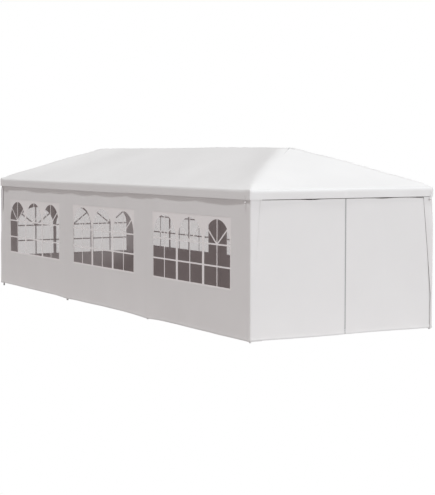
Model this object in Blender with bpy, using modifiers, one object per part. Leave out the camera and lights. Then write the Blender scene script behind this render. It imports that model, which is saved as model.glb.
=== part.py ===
"""Marquee tent with a hipped roof, window walls and a zip door.

Metres, +Z up. X runs along the ridge with the zip door at +X, the right side is at -Y and the
origin is on the ground in the middle of the tent.
"""

import math

import bmesh
import bpy
from mathutils import Matrix, Vector

# Driving sizes of the whole tent
LENGTH = 9.0
WIDTH = 3.0
RIDGE_HEIGHT = 2.55
EAVE_HEIGHT = 1.99
VALANCE_DROP = 0.126
RIDGE_INSET = 1.405
INNER_LEG_X = 1.5

# Cloth, film and the slit left between pieces that touch
CLOTH = 0.003
FILM = 0.001
GAP = 0.0003

# Frame tubes, the sleeves that they push into, and the feet
TUBE_RADIUS = 0.0125
SLEEVE_RADIUS = 0.0155
HUB_RADIUS = 0.0175
SLEEVE_LENGTH = 0.08
SLEEVE_ROOT = 0.004
SLEEVE_TWIST = math.radians(6.3)
FOOT_RADIUS = 0.0155
FOOT_HEIGHT = 0.026
FOOT_CHAMFER = 0.002
LEG_SIDES = 16
TUBE_SIDE_LEVEL = 4
ROD_SIDES = 12
HUB_SIDES = 16
HUB_RINGS = 8

# Walls hang a little inside the valance, in two layers that overlap at the corners
WALL_SETBACK = 0.0124
HEM_HEIGHT = 0.03
WALL_TOP = 1.89
CURTAIN_TOP = 1.851
CORNER_RETURN = 0.24
ZIP_WIDTH = 0.024
ZIP_PLACE = 0.014

# Cutters reach past what they cut
CUTTER_DEPTH = 0.03

# Windows: three arched lights in each window wall
LIGHT_WIDTH = 0.71
LIGHT_PITCH = 0.77
ARCH_RISE = 0.34
ARCH_STEPS = 14
SIDE_SILL = 0.67
SIDE_SPRING = 1.238
REAR_SILL = 0.566
REAR_SPRING = 1.105
SIDE_WINDOW_CENTRES = {"right": (-2.93, -0.06, 2.85), "left": (-3.053, -0.137, 2.80)}
REAR_WINDOW_CENTRE = -0.05
FILM_MARGIN = 0.025

# Slanting edges, where a slack wall pulls away from its corner
REAR_EDGE = ((-4.38, WALL_TOP), (-4.398, 1.60), (-4.455, 1.12), (-4.4876, 0.80))
RIGHT_CURTAIN_EDGE = ((-1.332, CURTAIN_TOP), (-1.474, HEM_HEIGHT))
LEFT_CURTAIN_EDGE = ((1.322, CURTAIN_TOP), (1.4843, 0.27), (1.4843, HEM_HEIGHT))

HALF_LENGTH = LENGTH / 2
HALF_WIDTH = WIDTH / 2
RIDGE_HALF = HALF_LENGTH - RIDGE_INSET
SIDE_SLOPE = math.atan2(RIDGE_HEIGHT - EAVE_HEIGHT, HALF_WIDTH)
HIP_SLOPE = math.atan2(RIDGE_HEIGHT - EAVE_HEIGHT, RIDGE_INSET)
VALANCE_BOTTOM = EAVE_HEIGHT - VALANCE_DROP
LAYER = CLOTH + GAP
LEG_INSET = WALL_SETBACK + 2 * LAYER + TUBE_RADIUS
LEG_X = HALF_LENGTH - LEG_INSET
LEG_Y = HALF_WIDTH - LEG_INSET
COVER_DEPTH = CLOTH + GAP + HUB_RADIUS
RIDGE_TUBE_Z = RIDGE_HEIGHT - COVER_DEPTH / math.cos(SIDE_SLOPE)
RIDGE_TUBE_HALF = HALF_LENGTH - (
    RIDGE_TUBE_Z - EAVE_HEIGHT + COVER_DEPTH / math.cos(HIP_SLOPE)) / math.tan(HIP_SLOPE)
RAIL_Z = EAVE_HEIGHT + LEG_INSET * math.tan(SIDE_SLOPE) - COVER_DEPTH / math.cos(SIDE_SLOPE)
LEG_TOP = RAIL_Z - SLEEVE_LENGTH - GAP

WHITE_CLOTH = ((0.80, 0.80, 0.79), 0.55, 0.0, 1.0)
CLEAR_FILM = ((0.86, 0.86, 0.86), 0.12, 0.0, 0.35)
ZIP_TAPE = ((0.62, 0.62, 0.62), 0.6, 0.0, 1.0)
WHITE_STEEL = ((0.82, 0.82, 0.82), 0.35, 0.3, 1.0)
GREY_NYLON = ((0.72, 0.72, 0.72), 0.45, 0.0, 1.0)

SIDES = {"right": -1, "left": 1}
ENDS = {"rear": -1, "front": 1}


def clear_objects():
    for old in list(bpy.data.objects):
        bpy.data.objects.remove(old, do_unlink=True)


def new_collection(name):
    collection = bpy.data.collections.new(name)
    bpy.context.scene.collection.children.link(collection)
    return collection


def paint(obj, finish):
    """Give a piece its own material from a colour, roughness, metallic and alpha."""
    colour, roughness, metallic, alpha = finish
    material = bpy.data.materials.new(obj.name + "_finish")
    material.use_nodes = True
    shader = material.node_tree.nodes["Principled BSDF"]
    shader.inputs["Base Color"].default_value = (*colour, 1.0)
    shader.inputs["Roughness"].default_value = roughness
    shader.inputs["Metallic"].default_value = metallic
    shader.inputs["Alpha"].default_value = alpha
    obj.data.materials.append(material)


def add_piece(name, data, collection, finish=None):
    obj = bpy.data.objects.new(name, data)
    collection.objects.link(obj)
    if finish:
        paint(obj, finish)
    return obj


def hide_cutter(obj):
    obj.hide_render = True
    obj.display_type = "WIRE"


def add_boolean(obj, other, operation):
    modifier = obj.modifiers.new(operation.lower() + "_" + other.name, "BOOLEAN")
    modifier.operation = operation
    modifier.solver = "EXACT"
    modifier.object = other


def tube(name, start, end, radius, collection, finish):
    """A straight tube between two points, as a bevelled curve with filled ends."""
    curve = bpy.data.curves.new(name, "CURVE")
    curve.dimensions = "3D"
    curve.bevel_depth = radius
    curve.bevel_resolution = TUBE_SIDE_LEVEL
    curve.use_fill_caps = True
    spline = curve.splines.new("POLY")
    spline.points.add(1)
    spline.points[0].co = (*start, 1.0)
    spline.points[1].co = (*end, 1.0)
    return add_piece(name, curve, collection, finish)


def outline_curve(name, outlines, thickness):
    """A flat 2D curve; outlines after the first are holes in it."""
    curve = bpy.data.curves.new(name, "CURVE")
    curve.dimensions = "2D"
    curve.fill_mode = "BOTH"
    curve.extrude = thickness / 2
    for outline in outlines:
        spline = curve.splines.new("POLY")
        spline.points.add(len(outline) - 1)
        for point, (across, up) in zip(spline.points, outline):
            point.co = (across, up, 0.0, 1.0)
        spline.use_cyclic_u = True
    return curve


def welded_mesh(curve_object):
    """Turn a flat curve object into a closed mesh object of the same name and place."""
    graph = bpy.context.evaluated_depsgraph_get()
    mesh = bpy.data.meshes.new_from_object(curve_object.evaluated_get(graph))
    welded = bmesh.new()
    welded.from_mesh(mesh)
    bmesh.ops.remove_doubles(welded, verts=welded.verts, dist=0.00001)
    bmesh.ops.recalc_face_normals(welded, faces=welded.faces)
    welded.to_mesh(mesh)
    welded.free()
    name = curve_object.name
    place = curve_object.matrix_world.copy()
    collection = curve_object.users_collection[0]
    bpy.data.objects.remove(curve_object, do_unlink=True)
    obj = add_piece(name, mesh, collection)
    obj.matrix_world = place
    return obj


def upright_on_side(y):
    """Place a flat outline (along, up) in the plane at this y, facing -Y."""
    return Matrix.Translation((0, y, 0)) @ Matrix.Rotation(math.pi / 2, 4, "X")


def upright_on_gable(x):
    """Place a flat outline (across, up) in the plane at this x, facing +X."""
    turned = Matrix.Rotation(math.pi / 2, 4, "Z") @ Matrix.Rotation(math.pi / 2, 4, "X")
    return Matrix.Translation((x, 0, 0)) @ turned


def arched_light(centre, sill, spring):
    """Outline of one window light, upright sides under a nearly round head."""
    half = LIGHT_WIDTH / 2
    points = [(centre - half, sill), (centre + half, sill)]
    for step in range(ARCH_STEPS + 1):
        angle = math.pi * step / ARCH_STEPS
        points.append((centre + half * math.cos(angle), spring + ARCH_RISE * math.sin(angle)))
    return points


def window_lights(centre, sill, spring):
    return [arched_light(centre + shift * LIGHT_PITCH, sill, spring) for shift in (-1, 0, 1)]


def rectangle(left, right, bottom, top):
    return [(left, bottom), (right, bottom), (right, top), (left, top)]


def sheet_in_plane(name, outlines, thickness, place, collection, finish):
    curve = outline_curve(name, outlines, thickness)
    obj = add_piece(name, curve, collection, finish)
    obj.matrix_world = place
    return obj


def folded_sheet(name, plan, bottom, top, cutters, collection, finish):
    """A wall whose plan turns a corner, extruded upright, with its lights cut through."""
    curve = outline_curve(name, [plan], top - bottom)
    obj = add_piece(name, curve, collection)
    obj.location = (0, 0, (top + bottom) / 2)
    bpy.context.view_layer.update()
    obj = welded_mesh(obj)
    paint(obj, finish)
    for cutter in cutters:
        add_boolean(obj, cutter, "DIFFERENCE")
    return obj


def light_cutters(name, outlines, place, collection):
    """One prism for each window light, deeper than the wall that it cuts."""
    cutters = []
    for number, outline in enumerate(outlines, start=1):
        cutter_name = f"{name}_light_{number}"
        prism = outline_curve(cutter_name, [outline], CUTTER_DEPTH)
        cutter = add_piece(cutter_name, prism, collection)
        cutter.matrix_world = place
        bpy.context.view_layer.update()
        cutter = welded_mesh(cutter)
        hide_cutter(cutter)
        cutters.append(cutter)
    return cutters


def cut_by_plane(solid, point, normal):
    """Keep the part of a closed bmesh behind a plane and close the cut."""
    geometry = solid.verts[:] + solid.edges[:] + solid.faces[:]
    bmesh.ops.bisect_plane(solid, geom=geometry, dist=0.0000001, plane_co=point,
                           plane_no=normal, clear_outer=True)
    bmesh.ops.holes_fill(solid, edges=solid.edges[:], sides=0)


def hipped_block(depth, bottom):
    """The solid under the roof planes, with every outer face moved in by this depth."""
    size = (LENGTH - 2 * depth, WIDTH - 2 * depth, RIDGE_HEIGHT - bottom)
    centre = Vector((0, 0, (RIDGE_HEIGHT + bottom) / 2))
    solid = bmesh.new()
    placed = Matrix.Translation(centre) @ Matrix.Diagonal((*size, 1.0))
    bmesh.ops.create_cube(solid, size=1.0, matrix=placed)
    for side in (-1, 1):
        normal = Vector((0, side * math.sin(SIDE_SLOPE), math.cos(SIDE_SLOPE)))
        eave = Vector((0, side * HALF_WIDTH, EAVE_HEIGHT))
        cut_by_plane(solid, eave - normal * depth, normal)
    for end in (-1, 1):
        normal = Vector((end * math.sin(HIP_SLOPE), 0, math.cos(HIP_SLOPE)))
        eave = Vector((end * HALF_LENGTH, 0, EAVE_HEIGHT))
        cut_by_plane(solid, eave - normal * depth, normal)
    return solid


def hip_normal(end, side):
    """Level normal of the upright plane through one hip, pointing to the gable."""
    run = Vector((end * RIDGE_INSET, side * HALF_WIDTH, 0)).normalized()
    return Vector((end * abs(run.y), -side * abs(run.x), 0))


def roof_panel(name, planes, inside, collection):
    """One sewn panel of the cover, cut from the hipped shell by upright planes."""
    solid = hipped_block(0.0, VALANCE_BOTTOM)
    for point, normal in planes:
        cut_by_plane(solid, Vector(point) - normal * GAP / 2, normal)
    bmesh.ops.recalc_face_normals(solid, faces=solid.faces)
    mesh = bpy.data.meshes.new(name)
    solid.to_mesh(mesh)
    solid.free()
    obj = add_piece(name, mesh, collection, WHITE_CLOTH)
    add_boolean(obj, inside, "DIFFERENCE")


def build_roof(collection, cutters):
    solid = hipped_block(CLOTH, VALANCE_BOTTOM - CUTTER_DEPTH)
    bmesh.ops.recalc_face_normals(solid, faces=solid.faces)
    mesh = bpy.data.meshes.new("under_roof")
    solid.to_mesh(mesh)
    solid.free()
    inside = add_piece("under_roof", mesh, cutters)
    hide_cutter(inside)
    for side_name, side in SIDES.items():
        planes = [((0, 0, 0), Vector((0, -side, 0)))]
        for end in ENDS.values():
            planes.append(((end * RIDGE_HALF, 0, 0), hip_normal(end, side)))
        roof_panel(f"roof_panel_{side_name}", planes, inside, collection)
    for end_name, end in ENDS.items():
        planes = []
        for side in SIDES.values():
            planes.append(((end * RIDGE_HALF, 0, 0), -hip_normal(end, side)))
        roof_panel(f"roof_panel_{end_name}", planes, inside, collection)


def build_side_walls(collection, cutters):
    face = HALF_WIDTH - WALL_SETBACK
    seam = GAP / 2
    for side_name, side in SIDES.items():
        middle = side * (face - CLOTH / 2)
        place = upright_on_side(middle)
        centres = SIDE_WINDOW_CENTRES[side_name]
        lights = [window_lights(c, SIDE_SILL, SIDE_SPRING) for c in centres]
        rear = [(-INNER_LEG_X - seam, HEM_HEIGHT), (-INNER_LEG_X - seam, WALL_TOP), *REAR_EDGE,
                (REAR_EDGE[-1][0], HEM_HEIGHT)]
        sheet_in_plane(f"side_wall_{side_name}_rear", [rear, *lights[0]], CLOTH, place,
                       collection, WHITE_CLOTH)
        middle_bay = rectangle(-INNER_LEG_X + seam, INNER_LEG_X - seam, HEM_HEIGHT, WALL_TOP)
        sheet_in_plane(f"side_wall_{side_name}_mid", [middle_bay, *lights[1]], CLOTH, place,
                       collection, WHITE_CLOTH)
        name = f"side_wall_{side_name}_front"
        turn = HALF_LENGTH - WALL_SETBACK - LAYER
        plan = [(INNER_LEG_X + seam, face), (turn, face), (turn, face - CORNER_RETURN),
                (turn - CLOTH, face - CORNER_RETURN), (turn - CLOTH, face - CLOTH),
                (INNER_LEG_X + seam, face - CLOTH)]
        plan = [(x, side * y) for x, y in plan]
        prisms = light_cutters(name, lights[2], place, cutters)
        folded_sheet(name, plan, HEM_HEIGHT, WALL_TOP, prisms, collection, WHITE_CLOTH)


def build_rear_wall(collection, cutters):
    x_out = -(HALF_LENGTH - WALL_SETBACK - LAYER)
    y_out = HALF_WIDTH - WALL_SETBACK - LAYER
    x_end = x_out + CORNER_RETURN
    half_plan = [(x_end, y_out - CLOTH), (x_end, y_out), (x_out, y_out)]
    inner = [(x_out + CLOTH, y_out - CLOTH)]
    left = inner + half_plan
    right = [(x, -y) for x, y in reversed(left)]
    lights = window_lights(REAR_WINDOW_CENTRE, REAR_SILL, REAR_SPRING)
    prisms = light_cutters("rear_wall", lights, upright_on_gable(x_out + CLOTH / 2), cutters)
    folded_sheet("rear_wall", left + right, HEM_HEIGHT, WALL_TOP, prisms, collection, WHITE_CLOTH)


def build_door(collection):
    place = upright_on_gable(HALF_LENGTH - WALL_SETBACK - CLOTH / 2)
    right_seam = ZIP_PLACE - ZIP_WIDTH / 2
    left_seam = ZIP_PLACE + ZIP_WIDTH / 2
    right = [(right_seam, HEM_HEIGHT), (right_seam, CURTAIN_TOP), *RIGHT_CURTAIN_EDGE]
    left = [(left_seam, HEM_HEIGHT), (left_seam, CURTAIN_TOP), *LEFT_CURTAIN_EDGE]
    sheet_in_plane("door_curtain_right", [right], CLOTH, place, collection, WHITE_CLOTH)
    sheet_in_plane("door_curtain_left", [left], CLOTH, place, collection, WHITE_CLOTH)
    strip = rectangle(right_seam + GAP, left_seam - GAP, HEM_HEIGHT, CURTAIN_TOP)
    sheet_in_plane("door_zip", [strip], CLOTH, place, collection, ZIP_TAPE)


def build_films(collection):
    half = LIGHT_PITCH + LIGHT_WIDTH / 2 + FILM_MARGIN
    bottom = SIDE_SILL - FILM_MARGIN
    top = SIDE_SPRING + ARCH_RISE + FILM_MARGIN
    back_of_wall = HALF_WIDTH - WALL_SETBACK - CLOTH - GAP
    for side_name, side in SIDES.items():
        centres = SIDE_WINDOW_CENTRES[side_name]
        sheet = rectangle(centres[0] - half, centres[-1] + half, bottom, top)
        place = upright_on_side(side * (back_of_wall - FILM / 2))
        sheet_in_plane(f"window_film_{side_name}", [sheet], FILM, place, collection, CLEAR_FILM)
    sheet = rectangle(REAR_WINDOW_CENTRE - half, REAR_WINDOW_CENTRE + half,
                      REAR_SILL - FILM_MARGIN, REAR_SPRING + ARCH_RISE + FILM_MARGIN)
    back_of_wall = HALF_LENGTH - WALL_SETBACK - 2 * LAYER
    place = upright_on_gable(-(back_of_wall - FILM / 2))
    sheet_in_plane("window_film_rear", [sheet], FILM, place, collection, CLEAR_FILM)


def leg_mesh():
    """Profile of a leg and its foot cap, from the top down its outer side to the ground."""
    profile = [(0, LEG_TOP), (TUBE_RADIUS, LEG_TOP), (TUBE_RADIUS, FOOT_HEIGHT),
               (FOOT_RADIUS, FOOT_HEIGHT), (FOOT_RADIUS, FOOT_CHAMFER),
               (FOOT_RADIUS - FOOT_CHAMFER, 0), (0, 0)]
    mesh = bpy.data.meshes.new("leg_profile")
    drawn = bmesh.new()
    points = [drawn.verts.new((radius, 0, height)) for radius, height in profile]
    for first, second in zip(points, points[1:]):
        drawn.edges.new((first, second))
    drawn.to_mesh(mesh)
    drawn.free()
    return mesh


def build_legs(collection):
    profile = leg_mesh()
    stations = (-LEG_X, -INNER_LEG_X, INNER_LEG_X, LEG_X)
    for side_name, side in SIDES.items():
        for number, x in enumerate(stations, start=1):
            name = f"leg_{side_name}_{number}"
            leg = add_piece(name, profile.copy(), collection, WHITE_STEEL)
            leg.location = (x, side * LEG_Y, 0)
            turned = leg.modifiers.new("turned", "SCREW")
            turned.steps = LEG_SIDES
            turned.render_steps = LEG_SIDES
            turned.use_merge_vertices = True
            turned.merge_threshold = 0.00001
            turned.use_smooth_shade = False


def rod_mesh(name, start, end, radius, twist=0.0):
    """A plain cylinder between two points, its flats turned by the twist."""
    along = Vector(end) - Vector(start)
    turn = along.to_track_quat("Z", "Y").to_matrix().to_4x4() @ Matrix.Rotation(twist, 4, "Z")
    middle = Matrix.Translation((Vector(start) + Vector(end)) / 2)
    solid = bmesh.new()
    bmesh.ops.create_cone(solid, cap_ends=True, segments=ROD_SIDES, radius1=radius,
                          radius2=radius, depth=along.length, matrix=middle @ turn)
    mesh = bpy.data.meshes.new(name)
    solid.to_mesh(mesh)
    solid.free()
    return mesh


def hub_mesh(name, centre):
    """The ball in the middle of a joint, a little fatter than its sleeves."""
    solid = bmesh.new()
    bmesh.ops.create_uvsphere(solid, u_segments=HUB_SIDES, v_segments=HUB_RINGS,
                              radius=HUB_RADIUS, matrix=Matrix.Translation(centre))
    mesh = bpy.data.meshes.new(name)
    solid.to_mesh(mesh)
    solid.free()
    return mesh


def join_shapes(obj, meshes, cutters):
    """Join further shapes to an object, each through a Boolean union."""
    for mesh in meshes:
        other = add_piece(mesh.name, mesh, cutters)
        hide_cutter(other)
        add_boolean(obj, other, "UNION")


def sleeves(name, centre, targets):
    """One sleeve from inside a joint's hub towards each tube that is pushed into it.

    Each is twisted a little more than the last, so that no two meet edge on edge.
    """
    meshes = []
    for number, target in enumerate(targets, start=1):
        along = (target - centre).normalized()
        start = centre - along * SLEEVE_ROOT
        meshes.append(rod_mesh(f"{name}_sleeve_{number}", start, centre + along * SLEEVE_LENGTH,
                               SLEEVE_RADIUS, number * SLEEVE_TWIST))
    return meshes


def tube_joint(name, centre, targets, collection, cutters):
    hub = add_piece(name, hub_mesh(name, centre), collection, GREY_NYLON)
    join_shapes(hub, sleeves(name, centre, targets), cutters)


def between(name, start, end, collection):
    """A tube between two joint centres, cut back to the mouths of their sleeves."""
    reach = (end - start).normalized() * (SLEEVE_LENGTH + GAP)
    tube(name, start + reach, end - reach, TUBE_RADIUS, collection, WHITE_STEEL)


def leg_head(end, side, x):
    """Centre of the joint on top of a leg."""
    return Vector((end * x, side * LEG_Y, RAIL_Z))


def ridge_point(x):
    return Vector((x, 0, RIDGE_TUBE_Z))


def build_frame(collection, cutters):
    down = Vector((0, 0, -1))
    for end_name, end in ENDS.items():
        ridge_end = ridge_point(end * RIDGE_TUBE_HALF)
        ridge_mid = ridge_point(end * INNER_LEG_X)
        for side_name, side in SIDES.items():
            corner = leg_head(end, side, LEG_X)
            over_leg = leg_head(end, side, INNER_LEG_X)
            other_corner = leg_head(end, -side, LEG_X)
            other_over_leg = leg_head(-end, side, INNER_LEG_X)
            label = f"{side_name}_{end_name}"
            tube_joint(f"corner_joint_{label}", corner,
                       (over_leg, other_corner, corner + down, ridge_end), collection, cutters)
            tube_joint(f"eave_joint_{label}", over_leg,
                       (corner, other_over_leg, over_leg + down, ridge_mid), collection, cutters)
            between(f"eave_rail_{label}", corner, over_leg, collection)
            between(f"hip_rafter_{label}", corner, ridge_end, collection)
            between(f"rafter_{label}", over_leg, ridge_mid, collection)
        between(f"gable_rail_{end_name}", leg_head(end, -1, LEG_X), leg_head(end, 1, LEG_X),
                collection)
    for side_name, side in SIDES.items():
        between(f"eave_rail_{side_name}_mid", leg_head(-1, side, INNER_LEG_X),
                leg_head(1, side, INNER_LEG_X), collection)


def build_ridge(collection, cutters):
    """Three ridge tubes and the four joints between and beyond them."""
    inner = {end: ridge_point(end * INNER_LEG_X) for end in ENDS.values()}
    tips = {end: ridge_point(end * RIDGE_TUBE_HALF) for end in ENDS.values()}
    for end_name, end in ENDS.items():
        corners = [leg_head(end, side, LEG_X) for side in SIDES.values()]
        over_legs = [leg_head(end, side, INNER_LEG_X) for side in SIDES.values()]
        tube_joint(f"ridge_end_joint_{end_name}", tips[end], (inner[end], *corners),
                   collection, cutters)
        tube_joint(f"ridge_joint_{end_name}", inner[end], (tips[end], inner[-end], *over_legs),
                   collection, cutters)
        between(f"ridge_tube_{end_name}", inner[end], tips[end], collection)
    between("ridge_tube_mid", inner[-1], inner[1], collection)


def main():
    clear_objects()
    tent = new_collection("marquee_tent")
    cutters = new_collection("cutters")
    build_roof(tent, cutters)
    build_side_walls(tent, cutters)
    build_rear_wall(tent, cutters)
    build_door(tent)
    build_films(tent)
    build_legs(tent)
    build_frame(tent, cutters)
    build_ridge(tent, cutters)


main()
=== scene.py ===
"""Looks of the marquee tent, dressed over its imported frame.

Metres, +Z up. The ridge runs along X with the zip door at +X, and the right side is at -Y. Walls,
films and trims are drawn flat, as seen from outside: x runs along the sheet, z goes up and -y
points outwards. A surface then hangs each flat piece in its place.
"""

import logging
import math
from collections.abc import Callable, Sequence
from dataclasses import dataclass, field
from enum import Enum
from functools import cached_property

import bmesh
import bpy
from mathutils import Matrix, Vector, noise


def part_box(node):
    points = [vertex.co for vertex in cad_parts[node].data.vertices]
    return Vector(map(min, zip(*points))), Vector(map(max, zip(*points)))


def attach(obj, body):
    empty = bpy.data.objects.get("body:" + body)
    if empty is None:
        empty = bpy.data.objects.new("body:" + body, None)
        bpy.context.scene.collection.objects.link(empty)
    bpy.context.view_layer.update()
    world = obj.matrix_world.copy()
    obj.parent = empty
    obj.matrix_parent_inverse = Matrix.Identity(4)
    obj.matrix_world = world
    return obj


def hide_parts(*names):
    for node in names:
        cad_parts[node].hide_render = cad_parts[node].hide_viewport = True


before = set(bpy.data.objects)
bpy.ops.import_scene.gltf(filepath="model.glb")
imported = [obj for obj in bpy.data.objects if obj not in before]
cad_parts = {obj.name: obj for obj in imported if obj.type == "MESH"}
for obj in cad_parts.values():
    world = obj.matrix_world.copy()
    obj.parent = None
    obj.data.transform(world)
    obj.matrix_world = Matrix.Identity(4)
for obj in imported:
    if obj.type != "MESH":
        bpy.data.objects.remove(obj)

LOG = logging.getLogger("marquee_tent")
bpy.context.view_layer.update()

BODY = "root"
UV_NAME = "cloth_metres"
CLOTH_THICKNESS = 0.0008
SMOOTH_ANGLE = math.radians(38)
FOLD_STEPS = 6
UPRIGHT = Matrix.Rotation(math.pi / 2, 4, "X")

# How far the back of a sewn trim stands off the cloth under it
TRIM_SEAT = 0.0001

# Sizes that the source of the solids also uses
EAVE_HEIGHT = 1.99
WALL_SETBACK = 0.0124
LAYER = 0.0033
HEM_HEIGHT = 0.03
WALL_TOP = 1.89
CURTAIN_TOP = 1.851
LIGHT_WIDTH = 0.71
LIGHT_PITCH = 0.77
ARCH_RISE = 0.34
SIDE_SILL = 0.67
SIDE_SPRING = 1.238
REAR_SILL = 0.566
REAR_SPRING = 1.105
SIDE_WINDOW_CENTRES = {"right": (-2.93, -0.06, 2.85), "left": (-3.053, -0.137, 2.80)}
REAR_WINDOW_CENTRE = -0.05

# Drop of the rear window's cross bar below its spring line
REAR_BAR_DROP = 0.282

# Places of the ties along the gables, and of the two that hang outside the cloth
REAR_TIES = (-1.2, -0.6, 0.0, 0.6, 1.2)
FRONT_TIES = (-1.15, -0.7, -0.25, 0.3, 0.75, 1.2)
RIGHT_OUTSIDE_TIE = 4.39
FRONT_OUTSIDE_TIE = 1.443

ROOF_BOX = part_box("roof_panel_right")
FRONT_PANEL_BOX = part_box("roof_panel_front")
CORNER_LEG_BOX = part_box("leg_left_4")
INNER_LEG_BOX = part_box("leg_left_3")
ZIP_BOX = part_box("door_zip")
RAIL_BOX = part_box("eave_rail_right_mid")

HALF_LENGTH = FRONT_PANEL_BOX[1][0]
HALF_WIDTH = -ROOF_BOX[0][1]
RIDGE_HEIGHT = ROOF_BOX[1][2]
VALANCE_BOTTOM = ROOF_BOX[0][2]
RIDGE_HALF = FRONT_PANEL_BOX[0][0]
RIDGE_INSET = HALF_LENGTH - RIDGE_HALF
LEG_X = (CORNER_LEG_BOX[0][0] + CORNER_LEG_BOX[1][0]) / 2
LEG_Y = (CORNER_LEG_BOX[0][1] + CORNER_LEG_BOX[1][1]) / 2
INNER_LEG_X = (INNER_LEG_BOX[0][0] + INNER_LEG_BOX[1][0]) / 2
OUTER_FACE_Y = HALF_WIDTH - WALL_SETBACK
INNER_FACE_Y = OUTER_FACE_Y - LAYER
OUTER_FACE_X = HALF_LENGTH - WALL_SETBACK
ZIP_PLACE = (ZIP_BOX[0][1] + ZIP_BOX[1][1]) / 2
INNER_FACE_X = OUTER_FACE_X - LAYER
RAIL_HEIGHT = (RAIL_BOX[0][2] + RAIL_BOX[1][2]) / 2


def clamp(value: float, low: float = 0.0, high: float = 1.0) -> float:
    """Keep a value between two bounds."""
    return min(max(value, low), high)


def ease(value: float) -> float:
    """Smooth step from 0 at 0 to 1 at 1."""
    t = clamp(value)
    return t * t * (3.0 - 2.0 * t)


def bump(offset: float, width: float) -> float:
    """A soft hump of height 1 where the offset is 0."""
    return math.exp(-(offset / width) ** 2)


def noise_at(x: float, y: float, z: float) -> float:
    """Smooth noise between -1 and 1, read at three numbers."""
    return noise.noise(Vector((x, y, z)))


def along_line(points: Sequence[tuple[float, float]], height: float) -> float:
    """Read a slanting edge at a height.

    Args:
        points: (place, height) pairs from the top down.
        height: The height to read at.

    Returns:
        The place of the edge there, held level past its ends.
    """
    if height >= points[0][1]:
        return points[0][0]
    for (upper, high), (lower, low) in zip(points, points[1:]):
        if height >= low:
            return lower + (upper - lower) * (height - low) / (high - low)
    return points[-1][0]


class Slot(Enum):
    """Material slots of the record."""

    ROOF = "roof_cloth"
    WALL = "wall_cloth"
    FILM = "window_film"
    ZIP = "zip_tape"
    TUBE = "frame_tube"
    JOINT = "joint_fittings"


# Shader groups


@dataclass(frozen=True)
class GroupSocket:
    """One input or output of a shader group."""

    name: str
    kind: str
    value: float | None = None


class NodeMaker:
    """Short ways to add nodes to a tree."""

    tree: bpy.types.NodeTree

    def math(self, operation: str, *values: bpy.types.NodeSocket | float) -> bpy.types.NodeSocket:
        """Add a Math node.

        Args:
            operation: Name of the operation.
            values: Sockets or numbers for its inputs.

        Returns:
            Its output.
        """
        node = self.tree.nodes.new("ShaderNodeMath")
        node.operation = operation
        for socket, value in zip(node.inputs, values):
            if isinstance(value, bpy.types.NodeSocket):
                self.tree.links.new(value, socket)
            else:
                socket.default_value = value
        return node.outputs[0]

    def noise(self, vector: bpy.types.NodeSocket, scale: float,
              detail: float = 3.0) -> bpy.types.NodeSocket:
        """Add a Noise texture.

        Args:
            vector: Where it is read.
            scale: Its scale, in cycles for each metre.
            detail: Its octaves.

        Returns:
            Its value, about 0.5 on average.
        """
        node = self.tree.nodes.new("ShaderNodeTexNoise")
        node.inputs["Scale"].default_value = scale
        node.inputs["Detail"].default_value = detail
        self.tree.links.new(vector, node.inputs["Vector"])
        return node.outputs[0]

    def stretch(self, vector: bpy.types.NodeSocket,
                scale: tuple[float, float, float]) -> bpy.types.NodeSocket:
        """Add a Mapping node that only scales.

        Args:
            vector: What is scaled.
            scale: Its scale along each axis.

        Returns:
            The scaled vector.
        """
        node = self.tree.nodes.new("ShaderNodeMapping")
        node.inputs["Scale"].default_value = scale
        self.tree.links.new(vector, node.inputs["Vector"])
        return node.outputs[0]

    def axes(self, vector: bpy.types.NodeSocket) -> list[bpy.types.NodeSocket]:
        """Add a Separate XYZ node.

        Args:
            vector: What is split.

        Returns:
            Its X, Y and Z.
        """
        node = self.tree.nodes.new("ShaderNodeSeparateXYZ")
        self.tree.links.new(vector, node.inputs[0])
        return list(node.outputs)


class ShaderGroup(NodeMaker):
    """A node group with named inputs and outputs."""

    def __init__(self, name: str, inputs: Sequence[GroupSocket], outputs: Sequence[GroupSocket]):
        """Make the group and its sockets.

        Args:
            name: Name of the group.
            inputs: Its input sockets.
            outputs: Its output sockets.
        """
        self.tree = bpy.data.node_groups.new(name, "ShaderNodeTree")
        for direction, sockets in (("INPUT", inputs), ("OUTPUT", outputs)):
            for socket in sockets:
                made = self.tree.interface.new_socket(
                    name=socket.name, in_out=direction, socket_type=socket.kind)
                if socket.value is not None:
                    made.default_value = socket.value
        self.source = self.tree.nodes.new("NodeGroupInput")
        self.result = self.tree.nodes.new("NodeGroupOutput")

    def given(self, name: str) -> bpy.types.NodeSocket:
        """The value that comes in through a named input."""
        return self.source.outputs[name]

    def give(self, name: str, socket: bpy.types.NodeSocket) -> None:
        """Send a value out through a named output."""
        self.tree.links.new(socket, self.result.inputs[name])


def weave_group() -> bpy.types.NodeTree:
    """Flat tapes woven over and under each other.

    Returns:
        A group that turns a place in metres into the tapes' relief and a painted shade, darker
        where the tapes dip under each other.
    """
    group = ShaderGroup(
        "woven_tapes",
        (GroupSocket("Vector", "NodeSocketVector"),
         GroupSocket("Pitch", "NodeSocketFloat", 0.0025)),
        (GroupSocket("Height", "NodeSocketFloat"), GroupSocket("Shade", "NodeSocketFloat")))
    waves = []
    for place in group.axes(group.given("Vector"))[:2]:
        turns = group.math("DIVIDE", place, group.given("Pitch"))
        waves.append(group.math("SINE", group.math("MULTIPLY", turns, math.pi)))
    over = group.math("GREATER_THAN", group.math("MULTIPLY", waves[0], waves[1]), 0.0)
    under = group.math("SUBTRACT", 1.0, over)
    warp = group.math("MULTIPLY", group.math("ABSOLUTE", waves[0]), over)
    weft = group.math("MULTIPLY", group.math("ABSOLUTE", waves[1]), under)
    height = group.math("ADD", warp, weft)
    group.give("Height", height)
    # Painted shade: the tapes are darker where they dip under each other.
    group.give("Shade", group.math("MULTIPLY_ADD", height, 0.5, 0.5))
    return group.tree


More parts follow.
